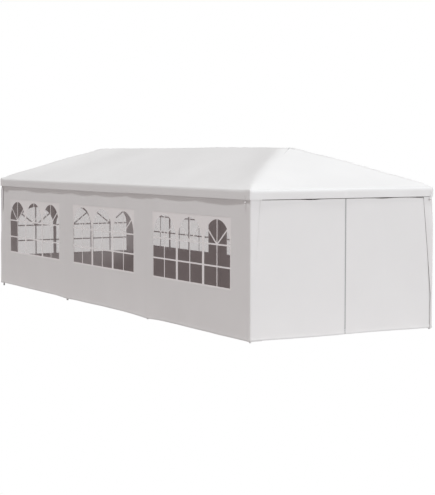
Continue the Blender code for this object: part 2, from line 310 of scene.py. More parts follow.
def crease_group() -> bpy.types.NodeTree:
    """Handling creases: broad dents with a finer crumple on them.

    Returns:
        A group that turns a place in metres into their relief and a slow drift of tone.
    """
    group = ShaderGroup(
        "handling_creases",
        (GroupSocket("Vector", "NodeSocketVector"),),
        (GroupSocket("Height", "NodeSocketFloat"), GroupSocket("Drift", "NodeSocketFloat")))
    broad = group.noise(group.given("Vector"), 1.7, 2.0)
    fine = group.noise(group.given("Vector"), 14.0, 4.0)
    upright = group.stretch(group.given("Vector"), (5.0, 5.0, 0.6))
    folds = group.noise(upright, 1.0, 3.0)
    relief = group.math("MULTIPLY_ADD", fine, 0.25, group.math("MULTIPLY", folds, 0.8))
    group.give("Height", relief)
    group.give("Drift", broad)
    return group.tree


def stitch_group() -> bpy.types.NodeTree:
    """One row of stitches at a given height of the flat piece.

    Returns:
        A group that turns a flat place in metres into a mask of the threads.
    """
    group = ShaderGroup(
        "stitch_row",
        (GroupSocket("Vector", "NodeSocketVector"), GroupSocket("Row", "NodeSocketFloat", 0.0),
         GroupSocket("Pitch", "NodeSocketFloat", 0.007)),
        (GroupSocket("Mask", "NodeSocketFloat"),))
    along, up, _ = group.axes(group.given("Vector"))
    offset = group.math("ABSOLUTE", group.math("SUBTRACT", up, group.given("Row")))
    near = group.math("LESS_THAN", offset, 0.0007)
    place = group.math("FRACT", group.math("DIVIDE", along, group.given("Pitch")))
    group.give("Mask", group.math("MULTIPLY", near, group.math("LESS_THAN", place, 0.68)))
    return group.tree


@dataclass
class ShaderGroups:
    """The shader groups that the finishes share, built once."""

    weave: bpy.types.NodeTree = field(default_factory=weave_group)
    creases: bpy.types.NodeTree = field(default_factory=crease_group)
    stitches: bpy.types.NodeTree = field(default_factory=stitch_group)


class Draft(NodeMaker):
    """A material in the making: its tree, its shader and the bumps stacked on it."""

    def __init__(self, finish: "Finish", groups: ShaderGroups):
        """Start a material.

        Args:
            finish: What the material is made for.
            groups: The shared shader groups.
        """
        self.material = bpy.data.materials.new(finish.name)
        self.material.use_nodes = True
        self.tree = self.material.node_tree
        self.shader = self.tree.nodes["Principled BSDF"]
        values = {"Base Color": (*finish.colour, 1.0), "Roughness": finish.roughness,
                  "Coat Weight": finish.coat, "Coat Roughness": finish.coat_roughness}
        for name, value in values.items():
            self.shader.inputs[name].default_value = value
        self.colour = finish.colour
        self.groups = groups
        self.normal: bpy.types.NodeSocket | None = None
        self.place = self.tree.nodes.new("ShaderNodeTexCoord").outputs["Object"]

    @cached_property
    def flat(self) -> bpy.types.NodeSocket:
        """The piece's own flat map, in metres.

        Returns:
            Its socket.
        """
        node = self.tree.nodes.new("ShaderNodeUVMap")
        node.uv_map = UV_NAME
        return node.outputs[0]

    @cached_property
    def creases(self) -> bpy.types.bpy_prop_collection:
        """The outputs of the handling creases."""
        return self.group(self.groups.creases, self.place)

    def group(self, tree: bpy.types.NodeTree, vector: bpy.types.NodeSocket,
              **values: float) -> bpy.types.bpy_prop_collection:
        """Place a shared group.

        Args:
            tree: The group.
            vector: Where it is read.
            values: Values of its other inputs.

        Returns:
            The outputs of its node.
        """
        node = self.tree.nodes.new("ShaderNodeGroup")
        node.node_tree = tree
        self.tree.links.new(vector, node.inputs["Vector"])
        for name, value in values.items():
            node.inputs[name].default_value = value
        return node.outputs

    def bump(self, height: bpy.types.NodeSocket, distance: float, strength: float = 1.0) -> None:
        """Stack a relief on the surface.

        Args:
            height: The relief, 0 to 1.
            distance: What 1 stands for, in metres.
            strength: Share of it that shows.
        """
        node = self.tree.nodes.new("ShaderNodeBump")
        node.inputs["Distance"].default_value = distance
        node.inputs["Strength"].default_value = strength
        self.tree.links.new(height, node.inputs["Height"])
        if self.normal:
            self.tree.links.new(self.normal, node.inputs["Normal"])
        self.normal = node.outputs[0]
        self.tree.links.new(self.normal, self.shader.inputs["Normal"])

    def tint(self, mask: bpy.types.NodeSocket, low: float, high: float) -> None:
        """Drive the base colour between two strengths of itself by a mask.

        Args:
            mask: 0 to 1.
            low: Strength where the mask is 0.
            high: Strength where the mask is 1.
        """
        mix = self.tree.nodes.new("ShaderNodeMix")
        mix.data_type = "RGBA"
        mix.inputs["A"].default_value = (*(c * low for c in self.colour), 1.0)
        mix.inputs["B"].default_value = (*(c * high for c in self.colour), 1.0)
        self.tree.links.new(mask, mix.inputs["Factor"])
        self.tree.links.new(mix.outputs["Result"], self.shader.inputs["Base Color"])

    def vary_roughness(self, mask: bpy.types.NodeSocket, low: float, high: float) -> None:
        """Drive the roughness between two values by a mask.

        Args:
            mask: 0 to 1.
            low: Roughness where the mask is 0.
            high: Roughness where the mask is 1.
        """
        value = self.math("MULTIPLY_ADD", mask, high - low, low)
        self.tree.links.new(value, self.shader.inputs["Roughness"])


@dataclass(frozen=True)
class Finish:
    """What every finish says: its base colour, linear, its roughness and its clear coat."""

    name: str
    colour: tuple[float, float, float]
    roughness: float = 0.5
    coat: float = 0.0
    coat_roughness: float = 0.03

    def dress(self, draft: Draft) -> None:
        """Add the finish's own nodes to a material in the making."""

    def build(self, groups: ShaderGroups) -> bpy.types.Material:
        """Make the material.

        Args:
            groups: The shared shader groups.

        Returns:
            The material.
        """
        draft = Draft(self, groups)
        self.dress(draft)
        return draft.material


@dataclass(frozen=True)
class ClothFinish(Finish):
    """Coated woven sheet, with an optional painted shade along its foot."""

    pitch: float = 0.0025
    crease: float = 0.0012
    weave_share: float = 0.3
    weave_depth: float = 0.0002
    weave_strength: float = 0.35
    roughness_swing: float = 0.06
    thread_depth: float = 0.0006
    thread_strength: float = 0.7
    thread_shade: float = 0.6
    stitch_rows: tuple[float, ...] = ()
    foot_shade_height: float = -1.0
    foot_shade_strength: float = 0.85
    weakest: float = 0.955
    strongest: float = 1.025

    def dress(self, draft: Draft) -> None:
        """Add the weave, the creases, the stitches, the tone and any painted shade at the foot.

        Args:
            draft: The material in the making.
        """
        weave = draft.group(draft.groups.weave, draft.flat, Pitch=self.pitch)
        drift = draft.creases["Drift"]
        # The weave's painted shade, mixed with a random drift of tone.
        shade = draft.math("MULTIPLY_ADD", weave["Shade"], self.weave_share,
                           draft.math("MULTIPLY", drift, 1.0 - self.weave_share))
        draft.vary_roughness(drift, self.roughness - self.roughness_swing,
                             self.roughness + self.roughness_swing)
        draft.bump(draft.creases["Height"], self.crease)
        draft.bump(weave["Height"], self.weave_depth, self.weave_strength)
        for row in self.stitch_rows:
            threads = draft.group(draft.groups.stitches, draft.flat, Row=row)["Mask"]
            draft.bump(threads, self.thread_depth, self.thread_strength)
            shade = draft.math("SUBTRACT", shade,
                               draft.math("MULTIPLY", threads, self.thread_shade))
        low = self.weakest
        # Painted shade: the cloth below the foot's height is darkened for the shade at the hem's
        # lower edge.
        if self.foot_shade_height > 0:
            shade = self.paint_foot_shade(draft, shade)
            low = self.foot_shade_strength
        draft.tint(shade, low, self.strongest)

    def paint_foot_shade(self, draft: Draft, shade: bpy.types.NodeSocket) -> bpy.types.NodeSocket:
        """Widen the cloth's tone range, and darken it below the foot's height as painted shade.

        Args:
            draft: The material in the making.
            shade: The cloth's shade, 0 to 1 between the weakest and the strongest tint.

        Returns:
            The shade, 0 to 1 between the painted shade's strength at the foot and the strongest
            tint.
        """
        span = self.strongest - self.foot_shade_strength
        kept = (self.strongest - self.weakest) / span
        below = (self.weakest - self.foot_shade_strength) / span
        foot = draft.math("LESS_THAN", draft.axes(draft.flat)[1], self.foot_shade_height)
        shade = draft.math("MULTIPLY_ADD", shade, kept, 1.0 - kept)
        return draft.math("SUBTRACT", shade, draft.math("MULTIPLY", foot, below))


@dataclass(frozen=True)
class FilmFinish(Finish):
    """Clear window film: a thin haze, a glossy skin and slow ripples."""

    haze: float = 0.36
    haze_swing: float = 0.04
    ripple: float = 0.0006

    def dress(self, draft: Draft) -> None:
        """Add the haze and the ripples.

        Args:
            draft: The material in the making.
        """
        haze = draft.math("MULTIPLY_ADD", draft.creases["Drift"], 2 * self.haze_swing,
                          self.haze - self.haze_swing)
        draft.tree.links.new(haze, draft.shader.inputs["Alpha"])
        draft.bump(draft.creases["Height"], self.ripple)


@dataclass(frozen=True)
class InkFinish(Finish):
    """White print on the film."""

    ripple: float = 0.0010
    grain_scale: float = 900.0
    grain_depth: float = 0.00005

    def dress(self, draft: Draft) -> None:
        """Add the drift of tone, the ripples of the film and the fine grain of the ink.

        Args:
            draft: The material in the making.
        """
        draft.tint(draft.creases["Drift"], 0.97, 1.02)
        draft.bump(draft.creases["Height"], self.ripple)
        draft.bump(draft.noise(draft.place, self.grain_scale, 1.0), self.grain_depth, 0.5)


@dataclass(frozen=True)
class PowderCoatFinish(Finish):
    """Powder-coated steel tube with a faint orange peel, and on a leg a foot cap painted paler to
    offset its shade.
    """

    painted_light_cap_height: float = -1.0
    peel_scale: float = 420.0
    peel_depth: float = 0.00012

    def dress(self, draft: Draft) -> None:
        """Add the drift of tone, the cap's painted light and the orange peel.

        Args:
            draft: The material in the making.
        """
        # Painted light: the cap at a leg's foot is painted paler to lift the shade under the hem.
        cap = draft.math("LESS_THAN", draft.axes(draft.place)[2], self.painted_light_cap_height)
        drift = draft.math("MULTIPLY_ADD", draft.creases["Drift"], 0.3, 0.2)
        draft.tint(draft.math("MAXIMUM", drift, cap), 0.91, 1.25)
        draft.vary_roughness(draft.noise(draft.place, 60.0), 0.27, 0.42)
        draft.bump(draft.noise(draft.place, self.peel_scale, 2.0), self.peel_depth, 0.6)


@dataclass(frozen=True)
class MouldedFinish(Finish):
    """Moulded plastic with a fine matt skin."""

    grain_scale: float = 1400.0
    grain_depth: float = 0.00008
    roughness_swing: float = 0.08

    def dress(self, draft: Draft) -> None:
        """Add the drift of tone and the grain.

        Args:
            draft: The material in the making.
        """
        draft.tint(draft.creases["Drift"], 0.93, 1.03)
        grain = draft.noise(draft.place, self.grain_scale, 2.0)
        draft.vary_roughness(grain, self.roughness - self.roughness_swing,
                             self.roughness + self.roughness_swing)
        draft.bump(grain, self.grain_depth, 0.6)


@dataclass(frozen=True)
class MetalFinish(Finish):
    """Plated metal, lightly brushed."""

    brush: tuple[float, float, float] = (300.0, 300.0, 40.0)
    brush_depth: float = 0.00003

    def dress(self, draft: Draft) -> None:
        """Add the metal and its brushed grain.

        Args:
            draft: The material in the making.
        """
        draft.shader.inputs["Metallic"].default_value = 1.0
        grain = draft.noise(draft.stretch(draft.place, self.brush), 1.0, 2.0)
        draft.vary_roughness(grain, 0.22, 0.42)
        draft.bump(grain, self.brush_depth, 0.5)


@dataclass
class Finishes:
    """Every material of the tent."""

    groups: ShaderGroups = field(default_factory=ShaderGroups)
    made: dict[str, bpy.types.Material] = field(default_factory=dict)

    def get(self, finish: Finish) -> bpy.types.Material:
        """The material of a finish, built the first time that it is asked for.

        Args:
            finish: One of the finish classes.

        Returns:
            Its material.
        """
        if finish.name not in self.made:
            self.made[finish.name] = finish.build(self.groups)
        return self.made[finish.name]


CLOTH_WHITE = (0.85, 0.845, 0.84)
TUBE_WHITE = (0.78, 0.78, 0.775)
ROOF_CLOTH = ClothFinish("roof_cloth", (0.86, 0.86, 0.855), 0.48, 0.45, 0.3,
                         stitch_rows=(VALANCE_BOTTOM + 0.02,))
WALL_CLOTH = ClothFinish("wall_cloth", CLOTH_WHITE, 0.52)
# The hem's lowest few centimetres are darkened as painted shade.
HEM_CLOTH = ClothFinish("hem_cloth", CLOTH_WHITE, 0.52, stitch_rows=(0.0375, 0.0675),
                        foot_shade_height=0.05)
SEAM_CLOTH = ClothFinish("seam_cloth", CLOTH_WHITE, 0.52, stitch_rows=(-0.007, 0.007))
# Painted shade: the cloth's inner face is darker than its outer face, standing in for the shade
# inside the tent.
CLOTH_BACK_SHADED = ClothFinish("cloth_back_painted_shade", (0.598, 0.56, 0.553), 0.62)
WINDOW_FILM = FilmFinish("clear_film", (0.38, 0.30, 0.30), 0.12, 1.0, 0.05)
WINDOW_INK = InkFinish("window_ink", (0.97, 0.95, 0.945), 0.3, 0.4, 0.12)
TUBE_COAT = PowderCoatFinish("tube_powder_coat", TUBE_WHITE, 0.34, 0.25)
# The leg's foot cap is painted paler, as painted light against the shade under the walls.
LEG_COAT = PowderCoatFinish("leg_powder_coat", TUBE_WHITE, 0.34, 0.25, painted_light_cap_height=0.026)
JOINT_PLASTIC = MouldedFinish("joint_plastic", (0.60, 0.60, 0.60), 0.45)
BALL_PLASTIC = MouldedFinish("ball_plastic", (0.84, 0.84, 0.83), 0.35)
CORD_ELASTIC = MouldedFinish("cord_elastic", (0.78, 0.78, 0.77), 0.7)
ZIP_TEETH = MouldedFinish("zip_teeth", (0.10, 0.10, 0.10), 0.4)
ZIP_TAPE = ClothFinish("zip_tape", (0.74, 0.74, 0.74), 0.6, pitch=0.0012, crease=0.0002,
                       stitch_rows=(-0.012, 0.012))
EYELET_METAL = MetalFinish("eyelet_metal", (0.62, 0.62, 0.64), 0.32)


# Shared ways to make a mesh


def add_object(name: str, data: bpy.types.ID) -> bpy.types.Object:
    """Put new data in the scene as an object.

    Args:
        name: Name of the object.
        data: Its mesh, light or camera.

    Returns:
        The object.
    """
    obj = bpy.data.objects.new(name, data)
    bpy.context.scene.collection.objects.link(obj)
    return obj


def flat_grid(left: float, right: float, bottom: float, top: float,
              step: float) -> bmesh.types.BMesh:
    """A flat grid in the drawing plane, facing outwards.

    Args:
        left, right: Its ends along the sheet.
        bottom, top: Its heights.
        step: About how large a cell is.

    Returns:
        The grid.
    """
    drawn = bmesh.new()
    width, height = right - left, top - bottom
    middle = Matrix.Translation(((left + right) / 2, 0, (bottom + top) / 2))
    bmesh.ops.create_grid(
        drawn, x_segments=max(1, round(width / step)), y_segments=max(1, round(height / step)),
        size=0.5, matrix=middle @ UPRIGHT @ Matrix.Diagonal((width, height, 1, 1)))
    return drawn


def slice_at(drawn: bmesh.types.BMesh, axis: str, places: Sequence[float]) -> None:
    """Cut extra lines across a mesh.

    Args:
        drawn: The mesh.
        axis: X, Y or Z, square to the cuts.
        places: Where on that axis.
    """
    normal = Vector((axis == "X", axis == "Y", axis == "Z"))
    for place in places:
        geometry = drawn.verts[:] + drawn.edges[:] + drawn.faces[:]
        bmesh.ops.bisect_plane(drawn, geom=geometry, dist=0.00002, plane_co=normal * place,
                               plane_no=normal)


def drop_faces(drawn: bmesh.types.BMesh, unwanted: Callable[[Vector], bool]) -> None:
    """Delete the faces whose middle a test picks out."""
    faces = [face for face in drawn.faces if unwanted(face.calc_center_median())]
    bmesh.ops.delete(drawn, geom=faces, context="FACES")


def give_depth(drawn: bmesh.types.BMesh, outer: float, inner: float = TRIM_SEAT) -> None:
    """Turn a flat piece into a closed plate.

    Args:
        drawn: A flat mesh in the drawing plane.
        outer: How far its outer face stands out.
        inner: How far its inner face stands out.
    """
    bmesh.ops.translate(drawn, verts=drawn.verts[:], vec=(0, -outer, 0))
    front = drawn.faces[:]
    grown = bmesh.ops.extrude_face_region(drawn, geom=front, use_keep_orig=True)
    moved = [item for item in grown["geom"] if isinstance(item, bmesh.types.BMVert)]
    bmesh.ops.translate(drawn, verts=moved, vec=(0, outer - inner, 0))
    bmesh.ops.recalc_face_normals(drawn, faces=drawn.faces[:])


def difference(drawn: bmesh.types.BMesh, cutter: bmesh.types.BMesh) -> bmesh.types.BMesh:
    """Cut one closed mesh out of another.

    Args:
        drawn: What is cut. It is freed.
        cutter: What is taken away. It is freed.

    Returns:
        What is left.
    """
    objects = []
    for name, piece in (("cut_piece", drawn), ("cutter", cutter)):
        mesh = bpy.data.meshes.new(name)
        piece.to_mesh(mesh)
        piece.free()
        objects.append(add_object(name, mesh))
    cut = objects[0].modifiers.new("cut", "BOOLEAN")
    cut.operation = "DIFFERENCE"
    cut.solver = "EXACT"
    cut.object = objects[1]
    bpy.context.view_layer.update()
    settle_modifiers(objects[0])
    result = bmesh.new()
    result.from_mesh(objects[0].data)
    for obj in objects:
        mesh = obj.data
        bpy.data.objects.remove(obj, do_unlink=True)
        bpy.data.meshes.remove(mesh)
    return result


def store_map(drawn: bmesh.types.BMesh,
              read: Callable[[bmesh.types.BMFace, Vector], tuple[float, float]]) -> None:
    """Store a piece's flat map, in metres.

    Args:
        drawn: The piece.
        read: Gives the flat place of one of a face's corners.
    """
    layer = drawn.loops.layers.uv.verify()
    for face in drawn.faces:
        for loop in face.loops:
            loop[layer].uv = read(face, loop.vert.co)


def map_flat(drawn: bmesh.types.BMesh) -> None:
    """Store the drawing plane's own metres as the piece's flat map."""
    store_map(drawn, lambda face, place: (place.x, place.z))


def map_upright(drawn: bmesh.types.BMesh, middle: float) -> None:
    """Store a flat map that runs up an upright strip, and across it from its middle line."""
    store_map(drawn, lambda face, place: (place.z, place.x - middle))


def merge(target: bmesh.types.BMesh, piece: bmesh.types.BMesh) -> None:
    """Move one bmesh into another.

    Args:
        target: The bmesh that grows.
        piece: What is added to it. It is freed.
    """
    mesh = bpy.data.meshes.new("joined_piece")
    piece.to_mesh(mesh)
    piece.free()
    target.from_mesh(mesh)
    bpy.data.meshes.remove(mesh)


def round_loop(points: Sequence[Vector], radius: float) -> bmesh.types.BMesh:
    """Draw a closed loop of round cord or wire.

    Args:
        points: The points of its middle line.
        radius: Its radius.

    Returns:
        The loop.
    """
    data = bpy.data.curves.new("loop_line", "CURVE")
    data.dimensions = "3D"
    data.bevel_depth = radius
    data.bevel_resolution = 2
    spline = data.splines.new("POLY")
    spline.points.add(len(points) - 1)
    for point, place in zip(spline.points, points):
        point.co = (*place, 1.0)
    spline.use_cyclic_u = True
    line = bpy.data.objects.new("loop_line", data)
    mesh = bpy.data.meshes.new_from_object(line)
    drawn = bmesh.new()
    drawn.from_mesh(mesh)
    bmesh.ops.recalc_face_normals(drawn, faces=drawn.faces[:])
    bpy.data.objects.remove(line)
    bpy.data.curves.remove(data)
    bpy.data.meshes.remove(mesh)
    return drawn


def rounded_block(size: tuple[float, float, float], middle: Vector,
                  edge: float = 0.0008) -> bmesh.types.BMesh:
    """Draw a block with softened edges.

    Args:
        size: Its sizes along X, Y and Z.
        middle: Its middle.
        edge: Width of the softened edges.

    Returns:
        The block.
    """
    drawn = bmesh.new()
    bmesh.ops.create_cube(drawn, size=1.0,
                          matrix=Matrix.Translation(middle) @ Matrix.Diagonal((*size, 1)))
    bmesh.ops.bevel(drawn, geom=drawn.edges[:], offset=edge, segments=2, profile=0.5,
                    affect="EDGES", material=-1)
    return drawn


def facing_place(face: bmesh.types.BMFace, place: Vector) -> tuple[float, float]:
    """Read a place from the side that its face looks to.

    Args:
        face: The face.
        place: One of its corners.

    Returns:
        The flat place, in metres.
    """
    x, y, z = (abs(value) for value in face.normal)
    if z > 0.5:
        return place.x, place.y
    return (place.y, place.z) if x > y else (place.x, place.z)


def link_piece(name: str, drawn: bmesh.types.BMesh, slot: Slot,
               *materials: bpy.types.Material) -> bpy.types.Object:
    """Turn a bmesh into a finished piece of the tent.

    Args:
        name: Name of the piece.
        drawn: Its mesh, in place. It is freed.
        slot: Not used.
        materials: Its materials, the outer one first.

    Returns:
        The piece, riding on the tent's body.
    """
    mesh = bpy.data.meshes.new(name)
    drawn.to_mesh(mesh)
    drawn.free()
    if mesh.uv_layers:
        mesh.uv_layers[0].name = UV_NAME
    for material in materials:
        mesh.materials.append(material)
    mesh.shade_smooth()
    mesh.set_sharp_from_angle(angle=SMOOTH_ANGLE)
    obj = add_object(name, mesh)
    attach(obj, BODY)
    LOG.info("%s: %d faces", name, len(mesh.polygons))
    return obj


def settle_modifiers(obj: bpy.types.Object) -> None:
    """Replace a piece's mesh by what its modifiers make of it.

    Args:
        obj: The piece.
    """
    graph = bpy.context.evaluated_depsgraph_get()
    mesh = bpy.data.meshes.new_from_object(
        obj.evaluated_get(graph), preserve_all_data_layers=True, depsgraph=graph)
    old = obj.data
    obj.modifiers.clear()
    obj.data = mesh
    name = old.name
    bpy.data.meshes.remove(old)
    mesh.name = name


def thicken(obj: bpy.types.Object) -> None:
    """Give a cloth its thickness, inwards, with its darker back, painted shade, as its second
    material.

    Args:
        obj: The cloth's outer face.
    """
    modifier = obj.modifiers.new("thickness", "SOLIDIFY")
    modifier.thickness = CLOTH_THICKNESS
    modifier.offset = -1.0
    modifier.material_offset = 1
    settle_modifiers(obj)
    obj.data.set_sharp_from_angle(angle=SMOOTH_ANGLE)


# Surfaces that flat pieces hang on


@dataclass
class SideSurface:
    """Outer face of a long side's wall, which folds round the front corner leg.

    Drawn from the rear (x low) to the front. The left side is the right one mirrored.
    """

    mirrored: bool = False
    face: float = OUTER_FACE_Y - 0.0004
    front_face: float = INNER_FACE_X
    ties: tuple[float, ...] = (-4.36, -3.31, -2.16, -1.23, -0.32, 0.82, 1.84, 3.025, 4.36)
    tie_sag: float = 0.0055
    leg_dip: float = 0.014
    rear_bulge: float = 0.029
    return_drop: float = 0.0
    left_bulge: float = 0.017
    right_bulge: float = 0.004
    tie_pull: float = 0.0022
    slow_wave: float = 0.0035
    fold_wave: float = 0.0016
    crumple_depth: float = 0.0005
    hem_swing: float = 0.006
    hem_wander: float = 0.0035
    sill_ripple: float = 0.0011
    lift_rear: float = 0.026
    lift_front: float = -0.012

    @property
    def window_centres(self) -> tuple[float, ...]:
        """Middles of the windows along the wall."""
        return SIDE_WINDOW_CENTRES["left" if self.mirrored else "right"]

    def corner_bulge(self, height: float) -> float:
        """How far the cloth stands off the front corner leg at a height.

        Args:
            height: Height on the flat piece.

        Returns:
            The distance outwards.
        """
        if self.mirrored:
            return self.left_bulge * ease((WALL_TOP - height) / 0.5)
        return self.right_bulge * ease((WALL_TOP - height) / 0.12)

    @property
    def fold_length(self) -> float:
        """Length of cloth in the fold round the corner leg."""
        return math.pi / 2 * (self.front_face - LEG_X + self.face - LEG_Y) / 2

    @property
    def corner(self) -> float:
        """Where the flat piece has gone round the corner leg."""
        return LEG_X + self.fold_length

    def clear_of_legs(self, along: float) -> float:
        """0 beside a leg and 1 away from it."""
        nearest = min(abs(along - leg) for leg in (-LEG_X, -INNER_LEG_X, INNER_LEG_X, LEG_X))
        return ease((nearest - 0.02) / 0.12)

    def wave(self, along: float, height: float) -> float:
        """How far the hanging cloth stands out from its plane.

        Args:
            along: Place along the flat piece.
            height: Height on it.

        Returns:
            The distance outwards.
        """
        shift = 11.3 if self.mirrored else 0.0
        free = self.clear_of_legs(along)
        under_top = max(0.0, WALL_TOP - height)
        sag = 0.0
        for left, right in zip(self.ties, self.ties[1:]):
            if left <= along <= right:
                swing = math.sin(math.pi * (along - left) / (right - left))
                sag = -self.tie_sag * swing ** 1.3 * (0.35 + 0.65 * free)
        value = sag * math.exp(-(under_top / 0.30) ** 1.5)
        for tie in self.ties:
            value += self.tie_pull * bump(along - tie, 0.05) * math.exp(-under_top / 0.35)
        slow = noise_at(along * 0.9 + shift, height * 0.35, 3.1)
        fold = noise_at(along * 3.1 + shift, height * 0.5, 7.7)
        crumple = noise_at(along * 7.0 + shift, height * 6.0, 1.9)
        value += (free * (self.slow_wave * slow + self.fold_wave * fold)
                  + self.crumple_depth * crumple)
        loose = ease(1.0 - height / 0.45)
        hem_wave = 0.5 + 0.5 * math.sin(along * 5.3 + shift + 1.4 * math.sin(along * 1.9))
        value += loose * self.hem_swing * hem_wave
        if height < SIDE_SILL:
            under_sill = SIDE_SILL - height
            for centre in self.window_centres:
                reach = self.sill_ripple * bump(along - centre - 0.55, 0.42)
                value += reach * math.sin(under_sill * 75.0) * math.exp(-under_sill / 0.10)
        return max(value, -0.0045 - 0.010 * free)

    def lifted(self, along: float, height: float) -> float:
        """Height after the hem is drawn up or let down.

        Args:
            along: Place along the flat piece.
            height: Height on it.

        Returns:
            The height in the tent.
        """
        share = clamp((along + LEG_X) / (2 * LEG_X))
        lift = self.lift_rear + (self.lift_front - self.lift_rear) * share
        lift += self.hem_wander * math.sin(along * 2.7 + 0.8) * ease(1.0 - abs(share * 2 - 1))
        lift -= self.leg_dip * bump(abs(along) - INNER_LEG_X, 0.28)
        return height + lift * ease(1.0 - (height - HEM_HEIGHT) / 0.6)

    def point(self, along: float, height: float, proud: float) -> Vector:
        """Hang one point of a flat piece.

        Args:
            along: Place along the flat piece.
            height: Height on it.
            proud: How far outside the wall's outer face it lies.

        Returns:
            The place in the tent.
        """
        z = self.lifted(along, height)
        fade = 1.0 - ease((along - LEG_X + 0.03) / 0.03)
        out = proud + self.wave(min(along, LEG_X), height) * fade
        out += self.corner_bulge(height) * bump(along - LEG_X - 0.02, 0.10)
        out += self.rear_bulge * ease((-along - LEG_X + 0.15) / 0.15) * ease((1.5 - height) / 0.35)
        if along <= LEG_X:
            place = Vector((along, -(self.face + out), z))
        elif along < self.corner:
            turn = math.pi / 2 * (along - LEG_X) / self.fold_length
            place = Vector((LEG_X + (self.front_face - LEG_X + out) * math.sin(turn),
                            -(LEG_Y + (self.face - LEG_Y + out) * math.cos(turn)), z))
        else:
            z -= self.return_drop * ease((along - self.corner) / 0.02) * ease((height - 1.6) / 0.25)
            place = Vector((self.front_face + out, -(LEG_Y - (along - self.corner)), z))
        if self.mirrored:
            place.y = -place.y
        return place


@dataclass
class RearSurface:
    """Outer face of the rear wall, which wraps both rear corner legs.

    Drawn from left to right as seen from behind, so x runs from +Y to -Y.
    """

    mirrored: bool = False
    face: float = INNER_FACE_X
    side_face: float = INNER_FACE_Y
    slit_depth: float = 0.006
    corner_bulge: float = 0.026
    lift: float = 0.022
    slow_wave: float = 0.003
    fold_wave: float = 0.0016
    hem_swing: float = 0.005

    @property
    def fold_length(self) -> float:
        """Length of cloth in the fold round a corner leg."""
        return math.pi / 2 * (self.face - LEG_X)

    @property
    def corner(self) -> float:
        """Where the flat piece has gone round a corner leg."""
        return LEG_Y + self.fold_length

    def wave(self, along: float, height: float) -> float:
        """How far the hanging cloth stands out from its plane.

        Args:
            along: Place along the flat piece.
            height: Height on it.

        Returns:
            The distance outwards.
        """
        slow = noise_at(along * 1.1 + 31.0, height * 0.4, 5.1)
        fold = noise_at(along * 3.4 + 17.0, height * 0.5, 2.2)
        free = ease((LEG_Y - abs(along)) / 0.15)
        loose = ease(1.0 - height / 0.45)
        hem_wave = 0.5 + 0.5 * math.sin(along * 5.9 + 0.4)
        return free * (self.slow_wave * slow + self.fold_wave * fold
                       + self.hem_swing * loose * hem_wave)

    def point(self, along: float, height: float, proud: float) -> Vector:
        """Hang one point of a flat piece.

        Args:
            along: Place along the flat piece.
            height: Height on it.
            proud: How far outside the wall's outer face it lies.

        Returns:
            The place in the tent.
        """
        side = -1.0 if along > 0 else 1.0
        reach = abs(along)
        out = proud + self.wave(along, height)
        bulge = self.corner_bulge * bump(reach - LEG_Y - 0.01, 0.08)
        out += bulge * ease((WALL_TOP - height) / 0.12)
        z = height + self.lift * ease(1.0 - (height - HEM_HEIGHT) / 0.6)
        if reach <= LEG_Y:
            return Vector((-(self.face + out), -along, z))
        if reach < self.corner:
            turn = math.pi / 2 * (reach - LEG_Y) / self.fold_length
            return Vector((-(LEG_X + (self.face - LEG_X + out) * math.cos(turn)),
                           side * (LEG_Y + (self.side_face - LEG_Y + out) * math.sin(turn)), z))
        run = reach - self.corner
        tuck = self.slit_depth * ease((run - 0.02) / 0.05)
        return Vector((-(LEG_X - run), side * (self.side_face + out - tuck), z))


@dataclass
class FrontSurface:
    """Outer face of the door curtains, drawn from right to left: x runs from -Y to +Y."""

    mirrored: bool = False
    face: float = OUTER_FACE_X
    top_lift: float = 0.0045
    dips: tuple[float, ...] = (-0.54, 0.64, 1.28)
    dip_depth: float = 0.008
    slow_wave: float = 0.0030
    fold_wave: float = 0.0014
    crumple_depth: float = 0.0005
    hem_swing: float = 0.004
    hem_lift: float = -0.008
    hem_wander: float = 0.003

    def wave(self, along: float, height: float) -> float:
        """How far the hanging cloth stands out from its plane.

        Args:
            along: Place along the flat piece.
            height: Height on it.

        Returns:
            The distance outwards.
        """
        slow = noise_at(along * 1.2 + 53.0, height * 0.8, 9.3)
        fold = noise_at(along * 2.6 + 23.0, height * 1.3, 4.4)
        crumple = noise_at(along * 7.0 + 3.0, height * 6.0, 6.9)
        loose = ease(1.0 - height / 0.4)
        hem_wave = 0.5 + 0.5 * math.sin(along * 6.1 + 2.0)
        at_zip = ease((abs(along - ZIP_PLACE) - 0.02) / 0.15)
        lift = at_zip * (self.slow_wave * (slow + 0.7) + self.fold_wave * fold)
        lift += self.crumple_depth * crumple
        return lift + at_zip * loose * self.hem_swing * hem_wave

    def point(self, along: float, height: float, proud: float) -> Vector:
        """Hang one point of a flat piece.

        Args:
            along: Place along the flat piece.
            height: Height on it.
            proud: How far outside the wall's outer face it lies.

        Returns:
            The place in the tent.
        """
        lift = self.hem_lift + self.hem_wander * math.sin(along * 3.1)
        z = height + lift * ease(1.0 - (height - HEM_HEIGHT) / 0.5)
        dip = self.dip_depth * sum(bump(along - place, 0.13) for place in self.dips)
        z += (self.top_lift - dip) * ease((height - CURTAIN_TOP + 0.25) / 0.25)
        return Vector((self.face + proud + self.wave(along, height), along, z))


Surface = SideSurface | RearSurface | FrontSurface


def hang(drawn: bmesh.types.BMesh, surface: Surface) -> None:
    """Put a flat piece in its place on a surface.

    Args:
        drawn: A piece in the drawing plane.
        surface: What it hangs on.
    """
    for vert in drawn.verts:
        vert.co = surface.point(vert.co.x, vert.co.z, -vert.co.y)
    if surface.mirrored:
        bmesh.ops.reverse_faces(drawn, faces=drawn.faces[:])


def hang_piece(name: str, drawn: bmesh.types.BMesh, surface: Surface, slot: Slot,
               *materials: bpy.types.Material) -> bpy.types.Object:
    """Map a flat piece, hang it on a surface and finish it.

    Args:
        name: Name of the piece.
        drawn: The piece in the drawing plane. It is freed.
        surface: What it hangs on.
        slot: Passed on to link_piece.
        materials: Its materials, the outer one first.

    Returns:
        The piece.
    """
    map_flat(drawn)
    hang(drawn, surface)
    return link_piece(name, drawn, slot, *materials)


